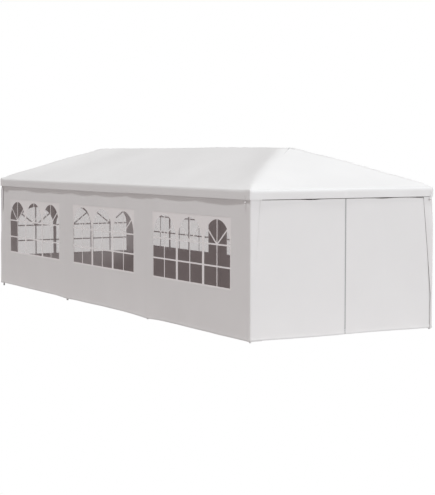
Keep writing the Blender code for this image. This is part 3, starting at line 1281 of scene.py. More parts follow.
def hang_cloth(name: str, drawn: bmesh.types.BMesh, surface: Surface,
               finishes: Finishes) -> bpy.types.Object:
    """Hang a wall's flat cloth on a surface and give it its thickness.

    Args:
        name: Name of the piece.
        drawn: The cloth in the drawing plane. It is freed.
        surface: What it hangs on.
        finishes: The tent's materials.

    Returns:
        The piece.
    """
    cloth = hang_piece(name, drawn, surface, Slot.WALL, finishes.get(WALL_CLOTH),
                       finishes.get(CLOTH_BACK_SHADED))
    thicken(cloth)
    return cloth


def hang_hem(wall: str, band: bmesh.types.BMesh, surface: Surface,
             finishes: Finishes) -> bpy.types.Object:
    """Hang the hem of a wall or curtain and finish it."""
    return hang_piece(f"{wall}_hem", band, surface, Slot.WALL, finishes.get(HEM_CLOTH))


def fold_lines(start: float, length: float) -> list[float]:
    """Places of the extra lines that round a fold at a corner leg."""
    return [start + length * number / FOLD_STEPS for number in range(FOLD_STEPS + 1)]


def cut_openings(drawn: bmesh.types.BMesh,
                 openings: Sequence[tuple[float, float, float, float]]) -> None:
    """Cut window openings in a flat wall.

    Args:
        drawn: The flat wall.
        openings: Left, right, bottom and top of each, all at the same height.
    """
    slice_at(drawn, "X", [edge for opening in openings for edge in opening[:2]])
    slice_at(drawn, "Z", openings[0][2:])
    for left, right, bottom, top in openings:
        drop_faces(drawn, lambda middle: left < middle.x < right and bottom < middle.z < top)


# Roof


def smooth_low(first: float, second: float, blend: float) -> float:
    """The lower of two heights, rounded over where they are within the blend of each other.

    Args:
        first, second: The heights.
        blend: The distance below which they blend.

    Returns:
        The lower height, rounded over.
    """
    if blend <= 0:
        return min(first, second)
    share = max(blend - abs(first - second), 0.0) / blend
    return min(first, second) - share * share * blend / 4


@dataclass
class RoofCover:
    """One soft cover over ridge and hips, with a rounded eave and a hanging valance."""

    finishes: Finishes
    flat_size: tuple[float, float] = (3.47, 9.48)
    flat_area: float = 31.9
    cell: float = 0.03
    eave_radius: float = 0.05
    arc_steps: int = 8
    valance_rows: int = 4
    corner_radius: float = 0.014
    fine_lines: int = 4
    hip_blend: float = 0.055
    apex_half: float = 0.14
    hip_offset: float = 0.015
    hip_reach: float = 0.33
    hip_raise: float = 0.014
    apex_drop: float = 0.014
    ridge_softness: float = 0.009
    sag: float = 0.010
    flare: float = 0.0005
    end_flare: float = -0.0025
    end_swell: float = 0.0074
    side_swell: float = 0.0035
    near_droop: float = 0.010
    corner_tuck: float = 0.004
    ridge_crown: float = 0.010
    ridge_blend: float = 0.012
    crumple_depth: float = 0.0006
    drift_depth: float = 0.0018
    side_rim_wave: float = 0.0010
    end_rim_wave: float = 0.0030
    rear_corner_lift: float = 0.3
    side_angle: float = math.atan2(RIDGE_HEIGHT - EAVE_HEIGHT, HALF_WIDTH)
    end_angle: float = math.atan2(RIDGE_HEIGHT - EAVE_HEIGHT, RIDGE_INSET)

    @property
    def plan_x(self) -> float:
        """Half length of the sloping part, up to where the eave starts to round over."""
        return HALF_LENGTH - self.eave_radius * (1 - math.sin(self.end_angle))

    @property
    def plan_y(self) -> float:
        """Half width of the sloping part."""
        return HALF_WIDTH - self.eave_radius * (1 - math.sin(self.side_angle))

    @property
    def eave_angle(self) -> float:
        """Angle at which the eave starts to round over, between those of the side and the end."""
        return (self.side_angle + self.end_angle) / 2

    @property
    def eave_run(self) -> float:
        """How far the rounded eave reaches outwards."""
        return self.eave_radius * (1 - math.sin(self.eave_angle))

    def sag_at(self, x: float, y: float) -> float:
        """How far the cloth sags below the straight slopes, between what holds it up.

        Args:
            x, y: A place in the plan.

        Returns:
            The distance downwards.
        """
        across, along = abs(y), abs(x)
        end_share = (HALF_LENGTH - along) / RIDGE_INSET
        side_share = across / HALF_WIDTH
        if end_share < 1.0 - side_share:
            half = max(HALF_WIDTH * (1.0 - end_share), 0.001)
            swing = math.cos(math.pi / 2 * clamp(across / half))
            return self.sag * swing * math.sin(math.pi * end_share)
        hip = RIDGE_HALF + RIDGE_INSET * side_share
        if along <= INNER_LEG_X:
            swing = math.cos(math.pi / 2 * along / INNER_LEG_X)
        else:
            swing = math.sin(math.pi * clamp((along - INNER_LEG_X) / (hip - INNER_LEG_X)))
        return self.sag * swing * math.sin(math.pi * clamp(side_share))

    def hip_lifts(self, x: float, y: float, rise: float) -> tuple[float, float]:
        """How far the cloth is drawn up beside a hip, whose two crests start beside the ridge.

        Args:
            x, y: A place in the plan.
            rise: Height of the straight slope over the eave there.

        Returns:
            The lift of the long slope, and the lift of both slopes.
        """
        length = math.hypot(RIDGE_INSET, HALF_WIDTH)
        run = abs(x) - RIDGE_HALF
        share = clamp((run * RIDGE_INSET + abs(y) * HALF_WIDTH) / length ** 2)
        aside = (abs(y) * RIDGE_INSET - run * HALF_WIDTH) / length
        crest = self.apex_half * RIDGE_INSET / length * (1.0 - share) + self.hip_offset
        fold = (math.tan(self.end_angle) * HALF_WIDTH
                + math.tan(self.side_angle) * RIDGE_INSET) / length
        near = bump(aside - crest, self.hip_reach) * ease(rise / 0.06)
        drop = self.apex_drop * bump(share - 0.12, 0.16)
        return fold * crest * near, (self.hip_raise * ease(share / 0.4) - drop) * near

    def height(self, x: float, y: float) -> float:
        """Height of the cover's outer face over a place in the plan.

        Args:
            x, y: A place in the plan.

        Returns:
            The height.
        """
        across = math.hypot(y, self.ridge_softness)
        side = EAVE_HEIGHT + (HALF_WIDTH - across) * math.tan(self.side_angle)
        end = EAVE_HEIGHT + (HALF_LENGTH - abs(x)) * math.tan(self.end_angle)
        rise = min(side, end) - EAVE_HEIGHT
        side_lift, lift = self.hip_lifts(x, y, rise)
        side = smooth_low(side + side_lift, RIDGE_HEIGHT, self.ridge_blend)
        blend = min(self.hip_blend, 0.35 * max(rise - 0.01, 0.0),
                    0.02 + 0.5 * max(0.54 - rise, 0.0))
        crumple = self.crumple_depth * noise_at(x * 3.0, y * 3.0, 12.0)
        drift = self.drift_depth * noise_at(x * 0.8, y * 1.3, 4.0)
        held = ease(rise / 0.10)
        crown = self.ridge_crown * bump(x - 1.1, 0.9) * bump(y, 0.2)
        straight = smooth_low(side, end, blend) + lift + crown
        return straight - self.sag_at(x, y) + held * (crumple + drift)

    def soften_corner(self, x: float, y: float, reach_x: float,
                      reach_y: float) -> tuple[float, float]:
        """Round the plan's square corner, ring by ring.

        Args:
            x, y: A place in the plan.
            reach_x, reach_y: Half sizes of the square outline that it belongs to.

        Returns:
            The place on the rounded outline.
        """
        a = abs(x) - (reach_x - self.corner_radius)
        b = abs(y) - (reach_y - self.corner_radius)
        if a <= 0 or b <= 0:
            return x, y
        scale = max(a, b) / math.hypot(a, b)
        return (math.copysign(reach_x - self.corner_radius + a * scale, x),
                math.copysign(reach_y - self.corner_radius + b * scale, y))

    def rim_wave(self, x: float, y: float) -> float:
        """How far the valance's hem swings out at a place along it.

        Args:
            x, y: Where it hangs in the plan.

        Returns:
            The distance outwards.
        """
        if abs(y) >= self.plan_y - 0.001:
            return self.side_rim_wave * noise_at(x * 1.4, y, 2.0)
        return self.end_rim_wave * noise_at(x, y * 2.4, 8.0)

    def corner_lift(self, base: Vector) -> float:
        """How much further out the eave reaches at the rear corners, as a share of its rounding.

        Args:
            base: Where a point left the edge of the sloping part.

        Returns:
            The share.
        """
        near = bump(abs(base.y) - HALF_WIDTH, 0.25)
        return self.rear_corner_lift * near * (base.x < 0.3 - self.plan_x)

    def rim_place(self, base: Vector, outward: float, height: float, hang_share: float) -> Vector:
        """Place one point of the eave or valance.

        Args:
            base: Where the point left the edge of the sloping part.
            outward: How far outside that edge it lies.
            height: Its height.
            hang_share: 0 at the eave and 1 at the hem.

        Returns:
            The place in the tent.
        """
        lean = self.flare if abs(base.y) > self.plan_y - 0.0001 else self.end_flare
        share = clamp(outward / self.eave_run)
        at_end = ease(1.0 - (self.plan_x - abs(base.x)) / 0.2)
        at_side = (1.0 - at_end) * ease((base.x + 2.5) / 3.0)
        swell = (self.end_swell * at_end + self.side_swell * at_side) * math.sin(math.pi * share)
        near = ease(0.5 - base.y) * ease((1.4 - base.x) / 1.5)
        height += swell - self.near_droop * hang_share * near
        outward += swell + hang_share * (lean + self.rim_wave(base.x, base.y))
        if base.x > 0 and base.y > 0:
            outward -= self.corner_tuck * share * bump(base.x - self.plan_x, 0.3)
        outward += self.corner_lift(base) * outward
        x = base.x + math.copysign(outward, base.x) * (abs(base.x) > self.plan_x - 0.0001)
        y = base.y + math.copysign(outward, base.y) * (abs(base.y) > self.plan_y - 0.0001)
        x, y = self.soften_corner(x, y, self.plan_x + outward, self.plan_y + outward)
        return Vector((x, y, height))

    def extrude_rim(self, drawn: bmesh.types.BMesh, edges: list[bmesh.types.BMEdge],
                    place: Callable[[Vector], Vector]) -> list[bmesh.types.BMEdge]:
        """Grow one more row at the rim.

        Args:
            drawn: The cover.
            edges: Its rim.
            place: Gives the new row's points from where they left the sloping part.

        Returns:
            The new rim.
        """
        base_layer = drawn.verts.layers.float_vector["base"]
        grown = bmesh.ops.extrude_edge_only(drawn, edges=edges)["geom"]
        for item in grown:
            if isinstance(item, bmesh.types.BMVert):
                item.co = place(Vector(item[base_layer]))
        return [item for item in grown if isinstance(item, bmesh.types.BMEdge)
                and len(item.link_faces) == 1]

    def draw(self) -> bmesh.types.BMesh:
        """The cover's outer face.

        Returns:
            Its mesh, open at the hem.
        """
        drawn = bmesh.new()
        size = Matrix.Diagonal((2 * self.plan_x, 2 * self.plan_y, 1, 1))
        bmesh.ops.create_grid(drawn, x_segments=round(2 * self.plan_x / self.cell),
                              y_segments=round(2 * self.plan_y / self.cell), size=0.5, matrix=size)
        steps = [self.corner_radius * (number + 1) / self.fine_lines
                 for number in range(self.fine_lines)]
        for side in (-1, 1):
            slice_at(drawn, "X", [side * (self.plan_x - step) for step in steps])
            slice_at(drawn, "Y", [side * (self.plan_y - step) for step in steps])
        base_layer = drawn.verts.layers.float_vector.new("base")
        for vert in drawn.verts:
            vert[base_layer] = vert.co
            x, y = self.soften_corner(vert.co.x, vert.co.y, self.plan_x, self.plan_y)
            vert.co = (x, y, self.height(x, y))
        rim = [edge for edge in drawn.edges if len(edge.link_faces) == 1]
        angle, run = self.eave_angle, self.eave_run
        start = EAVE_HEIGHT + run * math.tan(angle)
        for step in range(1, self.arc_steps + 1):
            turn = angle + (math.pi / 2 - angle) * step / self.arc_steps
            outward = self.eave_radius * (math.sin(turn) - math.sin(angle))
            height = start - self.eave_radius * (math.cos(angle) - math.cos(turn))
            rim = self.extrude_rim(
                drawn, rim, lambda base: self.rim_place(base, outward, height, 0.0))
        arc_end = start - self.eave_radius * math.cos(angle)
        for row in range(1, self.valance_rows + 1):
            share = row / self.valance_rows
            height = arc_end + (VALANCE_BOTTOM - arc_end) * share
            rim = self.extrude_rim(
                drawn, rim, lambda base: self.rim_place(base, run, height, share))
        bmesh.ops.recalc_face_normals(drawn, faces=drawn.faces[:])
        store_map(drawn, facing_place)
        return drawn

    def build(self) -> None:
        cover = link_piece("roof_cover", self.draw(), Slot.ROOF, self.finishes.get(ROOF_CLOTH),
                           self.finishes.get(CLOTH_BACK_SHADED))
        thicken(cover)
        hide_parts(*(f"roof_panel_{side}" for side in ("right", "left", "front", "rear")))


# Windows


@dataclass
class WindowShape:
    """Three arched lights with bars, printed on one sheet of film."""

    sill: float
    spring: float
    bar: float = 0.022
    cross_bar_drop: float = 0.298
    bar_angle: float = math.radians(37.5)
    margin: float = 0.025
    top_margin: float = 0.042
    overlap: float = 0.016
    print_depth: float = -0.0012
    print_thickness: float = 0.0004
    film_depth: float = 0.0019
    film_inset: float = 0.002
    arch_sides: int = 64
    drawn: list[bmesh.types.BMesh] = field(default_factory=list)

    @property
    def half(self) -> float:
        """Half width of the opening in the wall."""
        return LIGHT_PITCH + LIGHT_WIDTH / 2 + self.margin

    @property
    def bottom(self) -> float:
        """Lower edge of the opening in the wall."""
        return self.sill - self.margin

    @property
    def top(self) -> float:
        """Upper edge of the opening in the wall."""
        return self.spring + ARCH_RISE + self.top_margin

    def add_arch(self, panes: bmesh.types.BMesh, centre: float,
                 cuts: Sequence[tuple[Vector, Vector]]) -> None:
        """Add one pane of the arched head.

        Args:
            panes: The mesh of panes.
            centre: Middle of the light.
            cuts: (point, normal) planes that bound it, with the normals pointing off the pane.
        """
        pane = bmesh.new()
        middle = Matrix.Translation((centre, 0, self.spring))
        size = Matrix.Diagonal((LIGHT_WIDTH / 2, ARCH_RISE, 1, 1))
        bmesh.ops.create_circle(pane, cap_ends=True, segments=self.arch_sides, radius=1.0,
                                matrix=middle @ UPRIGHT @ size)
        for point, normal in cuts:
            geometry = pane.verts[:] + pane.edges[:] + pane.faces[:]
            bmesh.ops.bisect_plane(pane, geom=geometry, dist=0.00001, plane_co=point,
                                   plane_no=normal, clear_outer=True)
        merge(panes, pane)

    def add_light(self, panes: bmesh.types.BMesh, centre: float) -> None:
        """Add the panes of one arched light.

        Args:
            panes: The mesh of panes.
            centre: Middle of the light.
        """
        half_bar = self.bar / 2
        cross = self.spring - self.cross_bar_drop
        rows = ((self.sill, cross - half_bar), (cross + half_bar, self.spring - half_bar))
        for low, high in rows:
            merge(panes, flat_grid(centre - LIGHT_WIDTH / 2, centre - half_bar, low, high, 1.0))
            merge(panes, flat_grid(centre + half_bar, centre + LIGHT_WIDTH / 2, low, high, 1.0))
        hub = Vector((centre, 0, self.spring))
        floor = (hub + Vector((0, 0, half_bar)), Vector((0, 0, -1)))
        for side in (-1, 1):
            over = Vector((-side * math.sin(self.bar_angle), 0, math.cos(self.bar_angle)))
            middle = (hub + Vector((side * half_bar, 0, 0)), Vector((-side, 0, 0)))
            self.add_arch(panes, centre, (floor, (hub - over * half_bar, over)))
            self.add_arch(panes, centre, (middle, (hub + over * half_bar, -over)))

    def draw_print(self) -> bmesh.types.BMesh:
        """The print that leaves the panes clear, with its middle at x = 0.

        Returns:
            A copy of one thin closed plate with every pane cut out of it, which is cut only once.
        """
        if not self.drawn:
            plate = flat_grid(-self.half - self.overlap, self.half + self.overlap,
                              self.bottom - self.overlap, self.top + self.overlap, 0.04)
            give_depth(plate, self.print_depth, self.print_depth - self.print_thickness)
            panes = bmesh.new()
            for number in (-1, 0, 1):
                self.add_light(panes, number * LIGHT_PITCH)
            give_depth(panes, 0.01, -0.01)
            self.drawn.append(difference(plate, panes))
        return self.drawn[0].copy()

    def draw_film(self) -> bmesh.types.BMesh:
        """The film behind the print, as one open sheet in the drawing plane.

        Returns:
            Its mesh.
        """
        reach = self.overlap - self.film_inset
        film = flat_grid(-self.half - reach, self.half + reach, self.bottom - reach,
                         self.top + reach, 0.05)
        bmesh.ops.translate(film, verts=film.verts[:], vec=(0, self.film_depth, 0))
        return film

    def opening(self, centre: float) -> tuple[float, float, float, float]:
        """Left, right, bottom and top of the opening in the wall."""
        return centre - self.half, centre + self.half, self.bottom, self.top


@dataclass
class Window:
    """One window: its print, the film that replaces a node, and the binding round the opening."""

    name: str
    shape: WindowShape
    surface: Surface
    centre: float
    finishes: Finishes
    node: str
    binding: float = 0.016
    binding_depth: float = 0.0005
    hidden_edge: float = 0.0015

    def draw_binding(self) -> bmesh.types.BMesh:
        """The sewn binding, a thin flat frame over the wall's edge.

        Returns:
            Its mesh.
        """
        left, right, bottom, top = self.shape.opening(0.0)
        wide, edge = self.binding, self.hidden_edge
        frame_piece = flat_grid(left - wide, right + wide, bottom - wide, top + wide, 0.06)
        slice_at(frame_piece, "X", (left + edge, right - edge))
        slice_at(frame_piece, "Z", (bottom + edge, top - edge))
        drop_faces(frame_piece, lambda middle: left + edge < middle.x < right - edge
                   and bottom + edge < middle.z < top - edge)
        give_depth(frame_piece, self.binding_depth)
        return frame_piece

    def build(self) -> None:
        parts = (("film", self.shape.draw_film(), Slot.FILM, WINDOW_FILM),
                 ("window_print", self.shape.draw_print(), Slot.FILM, WINDOW_INK),
                 ("window_binding", self.draw_binding(), Slot.WALL, WALL_CLOTH))
        for kind, drawn, slot, finish in parts:
            bmesh.ops.translate(drawn, verts=drawn.verts[:], vec=(self.centre, 0, 0))
            hang_piece(f"{kind}_{self.name}", drawn, self.surface, slot,
                                   self.finishes.get(finish))
        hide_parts(self.node)


# Walls


@dataclass
class HemBand:
    """A folded hem along the foot of a wall."""

    tall: float = 0.042
    proud: float = 0.0018
    roll: float = 0.0022
    cell: float = 0.03
    cuts: tuple[float, ...] = (0.15, 0.3, 0.45, 0.6, 0.8)

    def draw(self, left: float, right: float) -> bmesh.types.BMesh:
        """Draw the band flat.

        Args:
            left, right: Its ends along the sheet.

        Returns:
            A closed strip with a slightly rolled foot.
        """
        band = flat_grid(left, right, HEM_HEIGHT - 0.001, HEM_HEIGHT + self.tall, self.cell)
        slice_at(band, "Z", [HEM_HEIGHT + self.tall * share for share in self.cuts])
        give_depth(band, self.proud)
        for vert in band.verts:
            share = (vert.co.z - HEM_HEIGHT) / self.tall
            if -vert.co.y > 0.0006:
                vert.co.y -= self.roll * bump(share - 0.28, 0.22)
        return band


@dataclass
class SideWall:
    """A long side's wall with three windows."""

    side: str
    finishes: Finishes
    cell: float = 0.03
    rear_edge: tuple[tuple[float, float], ...] = (
        (-4.38, WALL_TOP), (-4.398, 1.60), (-4.455, 1.12), (-4.4876, 0.80))
    slack: float = 0.55
    return_length: float = 0.165
    return_stand: float = 0.0018
    seam_half: float = 0.011
    seam_depth: float = 0.0007
    left_drop: float = 0.032
    left_taper: float = 0.18
    left_return: tuple[tuple[float, float], ...] = ((0.134, CURTAIN_TOP), (0.012, 0.50))

    def shear_ends(self, drawn: bmesh.types.BMesh, surface: SideSurface) -> None:
        """Slant the rear edge, and on the left side taper the return at the front.

        Args:
            drawn: The flat wall.
            surface: What it hangs on.
        """
        rear = self.rear_edge[-1][0]
        for vert in drawn.verts:
            shift = along_line(self.rear_edge, vert.co.z) - rear
            vert.co.x += shift * (1.0 - ease((vert.co.x - rear) / self.slack))
            past = vert.co.x - surface.corner
            if surface.mirrored and past > 0:
                width = along_line(self.left_return, vert.co.z)
                vert.co.x = surface.corner + past * width / self.return_length

    def seam(self, surface: SideSurface, place: float) -> bpy.types.Object:
        """Make the lapped seam where two bays of the wall are sewn together.

        Args:
            surface: What the wall hangs on.
            place: Middle of the seam along the wall.

        Returns:
            The strip.
        """
        strip = flat_grid(place - self.seam_half, place + self.seam_half, HEM_HEIGHT + 0.044,
                          WALL_TOP - 0.001, self.seam_half * 2)
        give_depth(strip, self.seam_depth)
        map_upright(strip, place)
        hang(strip, surface)
        number = 1 if place < 0 else 2
        return link_piece(f"wall_{self.side}_seam_{number}", strip, Slot.WALL,
                          self.finishes.get(SEAM_CLOTH))

    def build(self, shape: WindowShape) -> None:
        """Make the wall, its hem, its seams and its windows.

        Args:
            shape: The windows' shape.
        """
        surface = SideSurface(mirrored=self.side == "left")
        if surface.mirrored:
            surface.return_drop = self.left_drop
        else:
            surface.front_face += self.return_stand
        rear = self.rear_edge[-1][0]
        end = surface.corner + self.return_length
        lines = fold_lines(LEG_X, surface.fold_length)
        openings = [shape.opening(centre) for centre in surface.window_centres]
        drawn = flat_grid(rear, end, HEM_HEIGHT, WALL_TOP, self.cell)
        slice_at(drawn, "X", lines)
        cut_openings(drawn, openings)
        self.shear_ends(drawn, surface)
        name = f"wall_{self.side}"
        bays = ("rear", "mid", "front")
        wall = hang_cloth(name, drawn, surface, self.finishes)
        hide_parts(*(f"side_wall_{self.side}_{bay}" for bay in bays))
        band = HemBand().draw(rear, surface.corner if surface.mirrored else end)
        slice_at(band, "X", lines)
        hem = hang_hem(name, band, surface, self.finishes)
        seams = [self.seam(surface, place) for place in (-INNER_LEG_X, INNER_LEG_X)]
        for number, centre in enumerate(surface.window_centres, start=1):
            Window(f"{self.side}_{number}", shape, surface, centre, self.finishes,
                   f"window_film_{self.side}").build()


@dataclass
class RearWall:
    """The rear gable's wall with one window, wrapped round both corner legs."""

    finishes: Finishes
    cell: float = 0.03
    reach: float = 0.24
    slit_edge: tuple[tuple[float, float], ...] = (
        (0.068, WALL_TOP), (0.056, 1.60), (0.040, 1.25), (0.004, 0.80))

    def build(self, shape: WindowShape) -> None:
        """Make the wall, its hem and its window.

        Args:
            shape: The window's shape.
        """
        surface = RearSurface()
        end = surface.corner + self.reach
        lines = [side * line for side in (-1, 1) for line in fold_lines(LEG_Y, surface.fold_length)]
        centre = -REAR_WINDOW_CENTRE
        opening = shape.opening(centre)
        drawn = flat_grid(-end, end, HEM_HEIGHT, WALL_TOP, self.cell)
        slice_at(drawn, "X", lines)
        cut_openings(drawn, [opening])
        for vert in drawn.verts:
            past = abs(vert.co.x) - surface.corner
            if past > 0:
                width = along_line(self.slit_edge, vert.co.z)
                vert.co.x = math.copysign(surface.corner + past * width / self.reach, vert.co.x)
        wall = hang_cloth("wall_rear", drawn, surface, self.finishes)
        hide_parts("rear_wall")
        band = HemBand().draw(-surface.corner, surface.corner)
        slice_at(band, "X", lines)
        hem = hang_hem("wall_rear", band, surface, self.finishes)
        Window("rear", shape, surface, centre, self.finishes, "window_film_rear").build()


@dataclass
class Door:
    """Two curtains closed by a zip."""

    finishes: Finishes
    cell: float = 0.025
    cloth_share: float = 0.96
    zip_half: float = 0.0036
    tape_half: float = 0.0155
    tape_depth: float = 0.0005
    teeth_depths: tuple[float, float] = (0.0006, -0.0012)
    slider_height: float = 0.085
    right_edge: tuple[tuple[float, float], ...] = ((-1.332, CURTAIN_TOP), (-1.474, HEM_HEIGHT))
    left_edge: tuple[tuple[float, float], ...] = (
        (1.322, CURTAIN_TOP), (1.4843, 0.27), (1.4843, HEM_HEIGHT))

    def curtain(self, name: str, edge: Sequence[tuple[float, float]], side: int) -> None:
        """Make one curtain with its hem.

        Args:
            name: right or left.
            edge: Its slanting outer edge.
            side: -1 for the right curtain and 1 for the left one.
        """
        surface = FrontSurface()
        inner = ZIP_PLACE + side * self.zip_half
        outer = edge[-1][0]
        low, high = sorted((inner, outer))
        drawn = flat_grid(low, high, HEM_HEIGHT, CURTAIN_TOP, self.cell)
        band = HemBand().draw(low, high)
        for vert in (*drawn.verts, *band.verts):
            share = (vert.co.x - inner) / (outer - inner)
            vert.co.x = inner + share * (along_line(edge, vert.co.z) - inner)
        curtain = hang_cloth(f"curtain_{name}", drawn, surface, self.finishes)
        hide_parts(f"door_curtain_{name}")
        hem = hang_hem(f"curtain_{name}", band, surface, self.finishes)

    def build(self) -> None:
        """Make the curtains and the zip."""
        self.curtain("right", self.right_edge, -1)
        self.curtain("left", self.left_edge, 1)
        surface = FrontSurface()
        teeth = flat_grid(ZIP_PLACE - self.zip_half, ZIP_PLACE + self.zip_half, HEM_HEIGHT,
                          CURTAIN_TOP, self.zip_half)
        give_depth(teeth, *self.teeth_depths)
        chain = hang_piece("zip_chain", teeth, surface, Slot.ZIP, self.finishes.get(ZIP_TEETH))
        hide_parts("door_zip")
        for side in (-1, 1):
            self.tape(surface, side)
        self.slider()

    def tape(self, surface: FrontSurface, side: int) -> None:
        """Make the tape on one side of the zip.

        Args:
            surface: What it hangs on.
            side: -1 for the right tape and 1 for the left one.
        """
        low, high = sorted((ZIP_PLACE + side * self.zip_half, ZIP_PLACE + side * self.tape_half))
        strip = flat_grid(low, high, HEM_HEIGHT, CURTAIN_TOP, self.tape_half - self.zip_half)
        give_depth(strip, self.tape_depth)
        map_upright(strip, ZIP_PLACE)
        hang(strip, surface)
        name = "right" if side < 0 else "left"
        link_piece(f"zip_tape_{name}", strip, Slot.ZIP, self.finishes.get(ZIP_TAPE))

    def slider(self) -> None:
        """Make the zip's slider and the tab that hangs from it."""
        middle = Vector((OUTER_FACE_X + 0.0026, ZIP_PLACE, self.slider_height))
        body = rounded_block((0.004, 0.0095, 0.014), middle)
        merge(body, rounded_block((0.0016, 0.0035, 0.009), middle + Vector((0.0030, 0, 0))))
        tab = middle + Vector((0.0036, 0, -0.016))
        merge(body, rounded_block((0.0012, 0.0075, 0.030), tab, 0.0005))
        bmesh.ops.recalc_face_normals(body, faces=body.faces[:])
        link_piece("zip_slider", body, Slot.ZIP, self.finishes.get(EYELET_METAL))


# Ties


@dataclass
class Ties:
    """Elastic loops with balls, which hold the top of one wall to its rail through eyelets.

    A place in a tie's own plane is (out, up) from the middle of the rail, in metres.
    """

    name: str
    surface: Surface
    finishes: Finishes
    places: tuple[float, ...]
    wall_top: float = WALL_TOP
    outside: tuple[float, ...] = ()
    outside_height: float = 1.824
    ball: float = 0.0135
    ball_flat: float = 0.88
    knot: float = 0.0026
    cord: float = 0.0015
    loop: float = 0.0172
    loop_sides: int = 28
    eyelet: float | None = 0.007
    eyelet_wire: float = 0.0014
    eyelet_sides: int = 24
    hole_drop: float = 0.018

    @property
    def sideways(self) -> bool:
        """Whether the wall is a long side."""
        return isinstance(self.surface, SideSurface)

    def spot(self, along: float, out: float, up: float) -> Vector:
        """Turn a place in a tie's own plane into one in the tent.

        Args:
            along: Place of the tie along the wall.
            out: Distance outwards from the middle of the rail.
            up: Distance over the middle of the rail.

        Returns:
            The place in the tent.
        """
        hung = self.surface.point(along, self.wall_top, 0.0)
        if self.sideways:
            return Vector((hung.x, math.copysign(LEG_Y + out, hung.y), RAIL_HEIGHT + up))
        return Vector((math.copysign(LEG_X + out, hung.x), hung.y, RAIL_HEIGHT + up))

    def wall_out(self, along: float, height: float) -> float:
        """How far the wall's outer face stands outside the middle of the rail."""
        hung = self.surface.point(along, height, 0.0)
        return abs(hung.y) - LEG_Y if self.sideways else abs(hung.x) - LEG_X

    def draw_loop(self, along: float, end_out: float, end_up: float) -> bmesh.types.BMesh:
        """Draw the cord over the rail and down to its ball.

        Args:
            along: Place of the tie along the wall.
            end_out: Where the cord enters the ball, outwards.
            end_up: Where it enters the ball, upwards.

        Returns:
            The cord.
        """
        points = []
        for number in range(self.loop_sides):
            turn = 2 * math.pi * number / self.loop_sides
            drop = max(0.0, -math.sin(turn))
            out = self.loop * math.cos(turn) * (1.0 - 0.9 * drop) + end_out * ease(drop / 0.6)
            up = self.loop * math.sin(turn) if drop == 0 else end_up * drop
            points.append(self.spot(along, out, up))
        return round_loop(points, self.cord)

    def draw_ball(self, middle: Vector) -> bmesh.types.BMesh:
        """Draw a ball that is flattened where the cord goes through, with the knot under it.

        Args:
            middle: Its middle.

        Returns:
            The ball with its knot.
        """
        ball = bmesh.new()
        bmesh.ops.create_uvsphere(ball, u_segments=24, v_segments=16, radius=self.ball)
        flat = self.ball_flat * self.ball
        for vert in ball.verts:
            vert.co.z = clamp(vert.co.z, -flat, flat)
        knot = Matrix.Translation((0, 0, -flat - 0.0015))
        bmesh.ops.create_uvsphere(ball, u_segments=12, v_segments=8, radius=self.knot, matrix=knot)
        bmesh.ops.translate(ball, verts=ball.verts[:], vec=middle)
        return ball

    def draw_eyelet(self, along: float, height: float) -> bmesh.types.BMesh:
        """Draw the ring of an eyelet in the wall.

        Args:
            along: Place along the wall.
            height: Height on the wall.

        Returns:
            The ring.
        """
        middle = self.surface.point(along, height, -0.0004)
        flat = Vector((1, 0, 0)) if self.sideways else Vector((0, 1, 0))
        up = Vector((0, 0, 1))
        turns = [2 * math.pi * number / self.eyelet_sides for number in range(self.eyelet_sides)]
        points = [middle + self.eyelet * (math.cos(turn) * flat + math.sin(turn) * up)
                  for turn in turns]
        return round_loop(points, self.eyelet_wire)

    def build(self) -> None:
        """Make the cords, balls and eyelets of the wall's ties."""
        cords, balls, eyelets = bmesh.new(), bmesh.new(), bmesh.new()
        for along in (*self.places, *self.outside):
            if along in self.outside:
                height = self.outside_height
                out = self.wall_out(along, height) + self.ball + 0.0005
                end_out = out - 0.005
            else:
                height = self.wall_top - self.hole_drop
                out = self.wall_out(along, height) - 0.0013 - self.ball
                end_out = out
                if self.eyelet:
                    merge(eyelets, self.draw_eyelet(along, height))
            up = height - RAIL_HEIGHT
            merge(cords, self.draw_loop(along, end_out, up + 0.8 * self.ball))
            merge(balls, self.draw_ball(self.spot(along, out, up)))
        parts = (("cords", cords, CORD_ELASTIC), ("balls", balls, BALL_PLASTIC),
                 ("eyelets", eyelets, EYELET_METAL))
        for kind, drawn, finish in parts:
            if drawn.verts:
                link_piece(f"tie_{kind}_{self.name}", drawn, Slot.JOINT, self.finishes.get(finish))


# Frame


@dataclass
class FrameDress:
    """Finishes for the frame's own solids."""

    finishes: Finishes

    def build(self) -> None:
        """Give every tube, leg and joint its material."""
        tube = self.finishes.get(TUBE_COAT)
        joint = self.finishes.get(JOINT_PLASTIC)
        leg = self.finishes.get(LEG_COAT)
        kinds = {"leg_": leg, "rail": tube, "rafter": tube, "tube": tube, "joint": joint}
        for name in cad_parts:
            for word, material in kinds.items():
                if word in name:
                    slots = bpy.data.objects[name].data.materials
                    slots.clear()
                    slots.append(material)


# Studio


def show_to_camera(tree: bpy.types.NodeTree, lit: bpy.types.Node, seen: bpy.types.Node,
                   surface: bpy.types.NodeSocket) -> None:
    """Light with one shader, and show another to the camera.

    Args:
        tree: The node tree.
        lit: The shader that the other rays meet.
        seen: The shader that the camera sees.
        surface: Where the mix goes.
    """
    path = tree.nodes.new("ShaderNodeLightPath")
    mix = tree.nodes.new("ShaderNodeMixShader")
    tree.links.new(path.outputs["Is Camera Ray"], mix.inputs[0])
    tree.links.new(lit.outputs[0], mix.inputs[1])
    tree.links.new(seen.outputs[0], mix.inputs[2])
    tree.links.new(mix.outputs[0], surface)


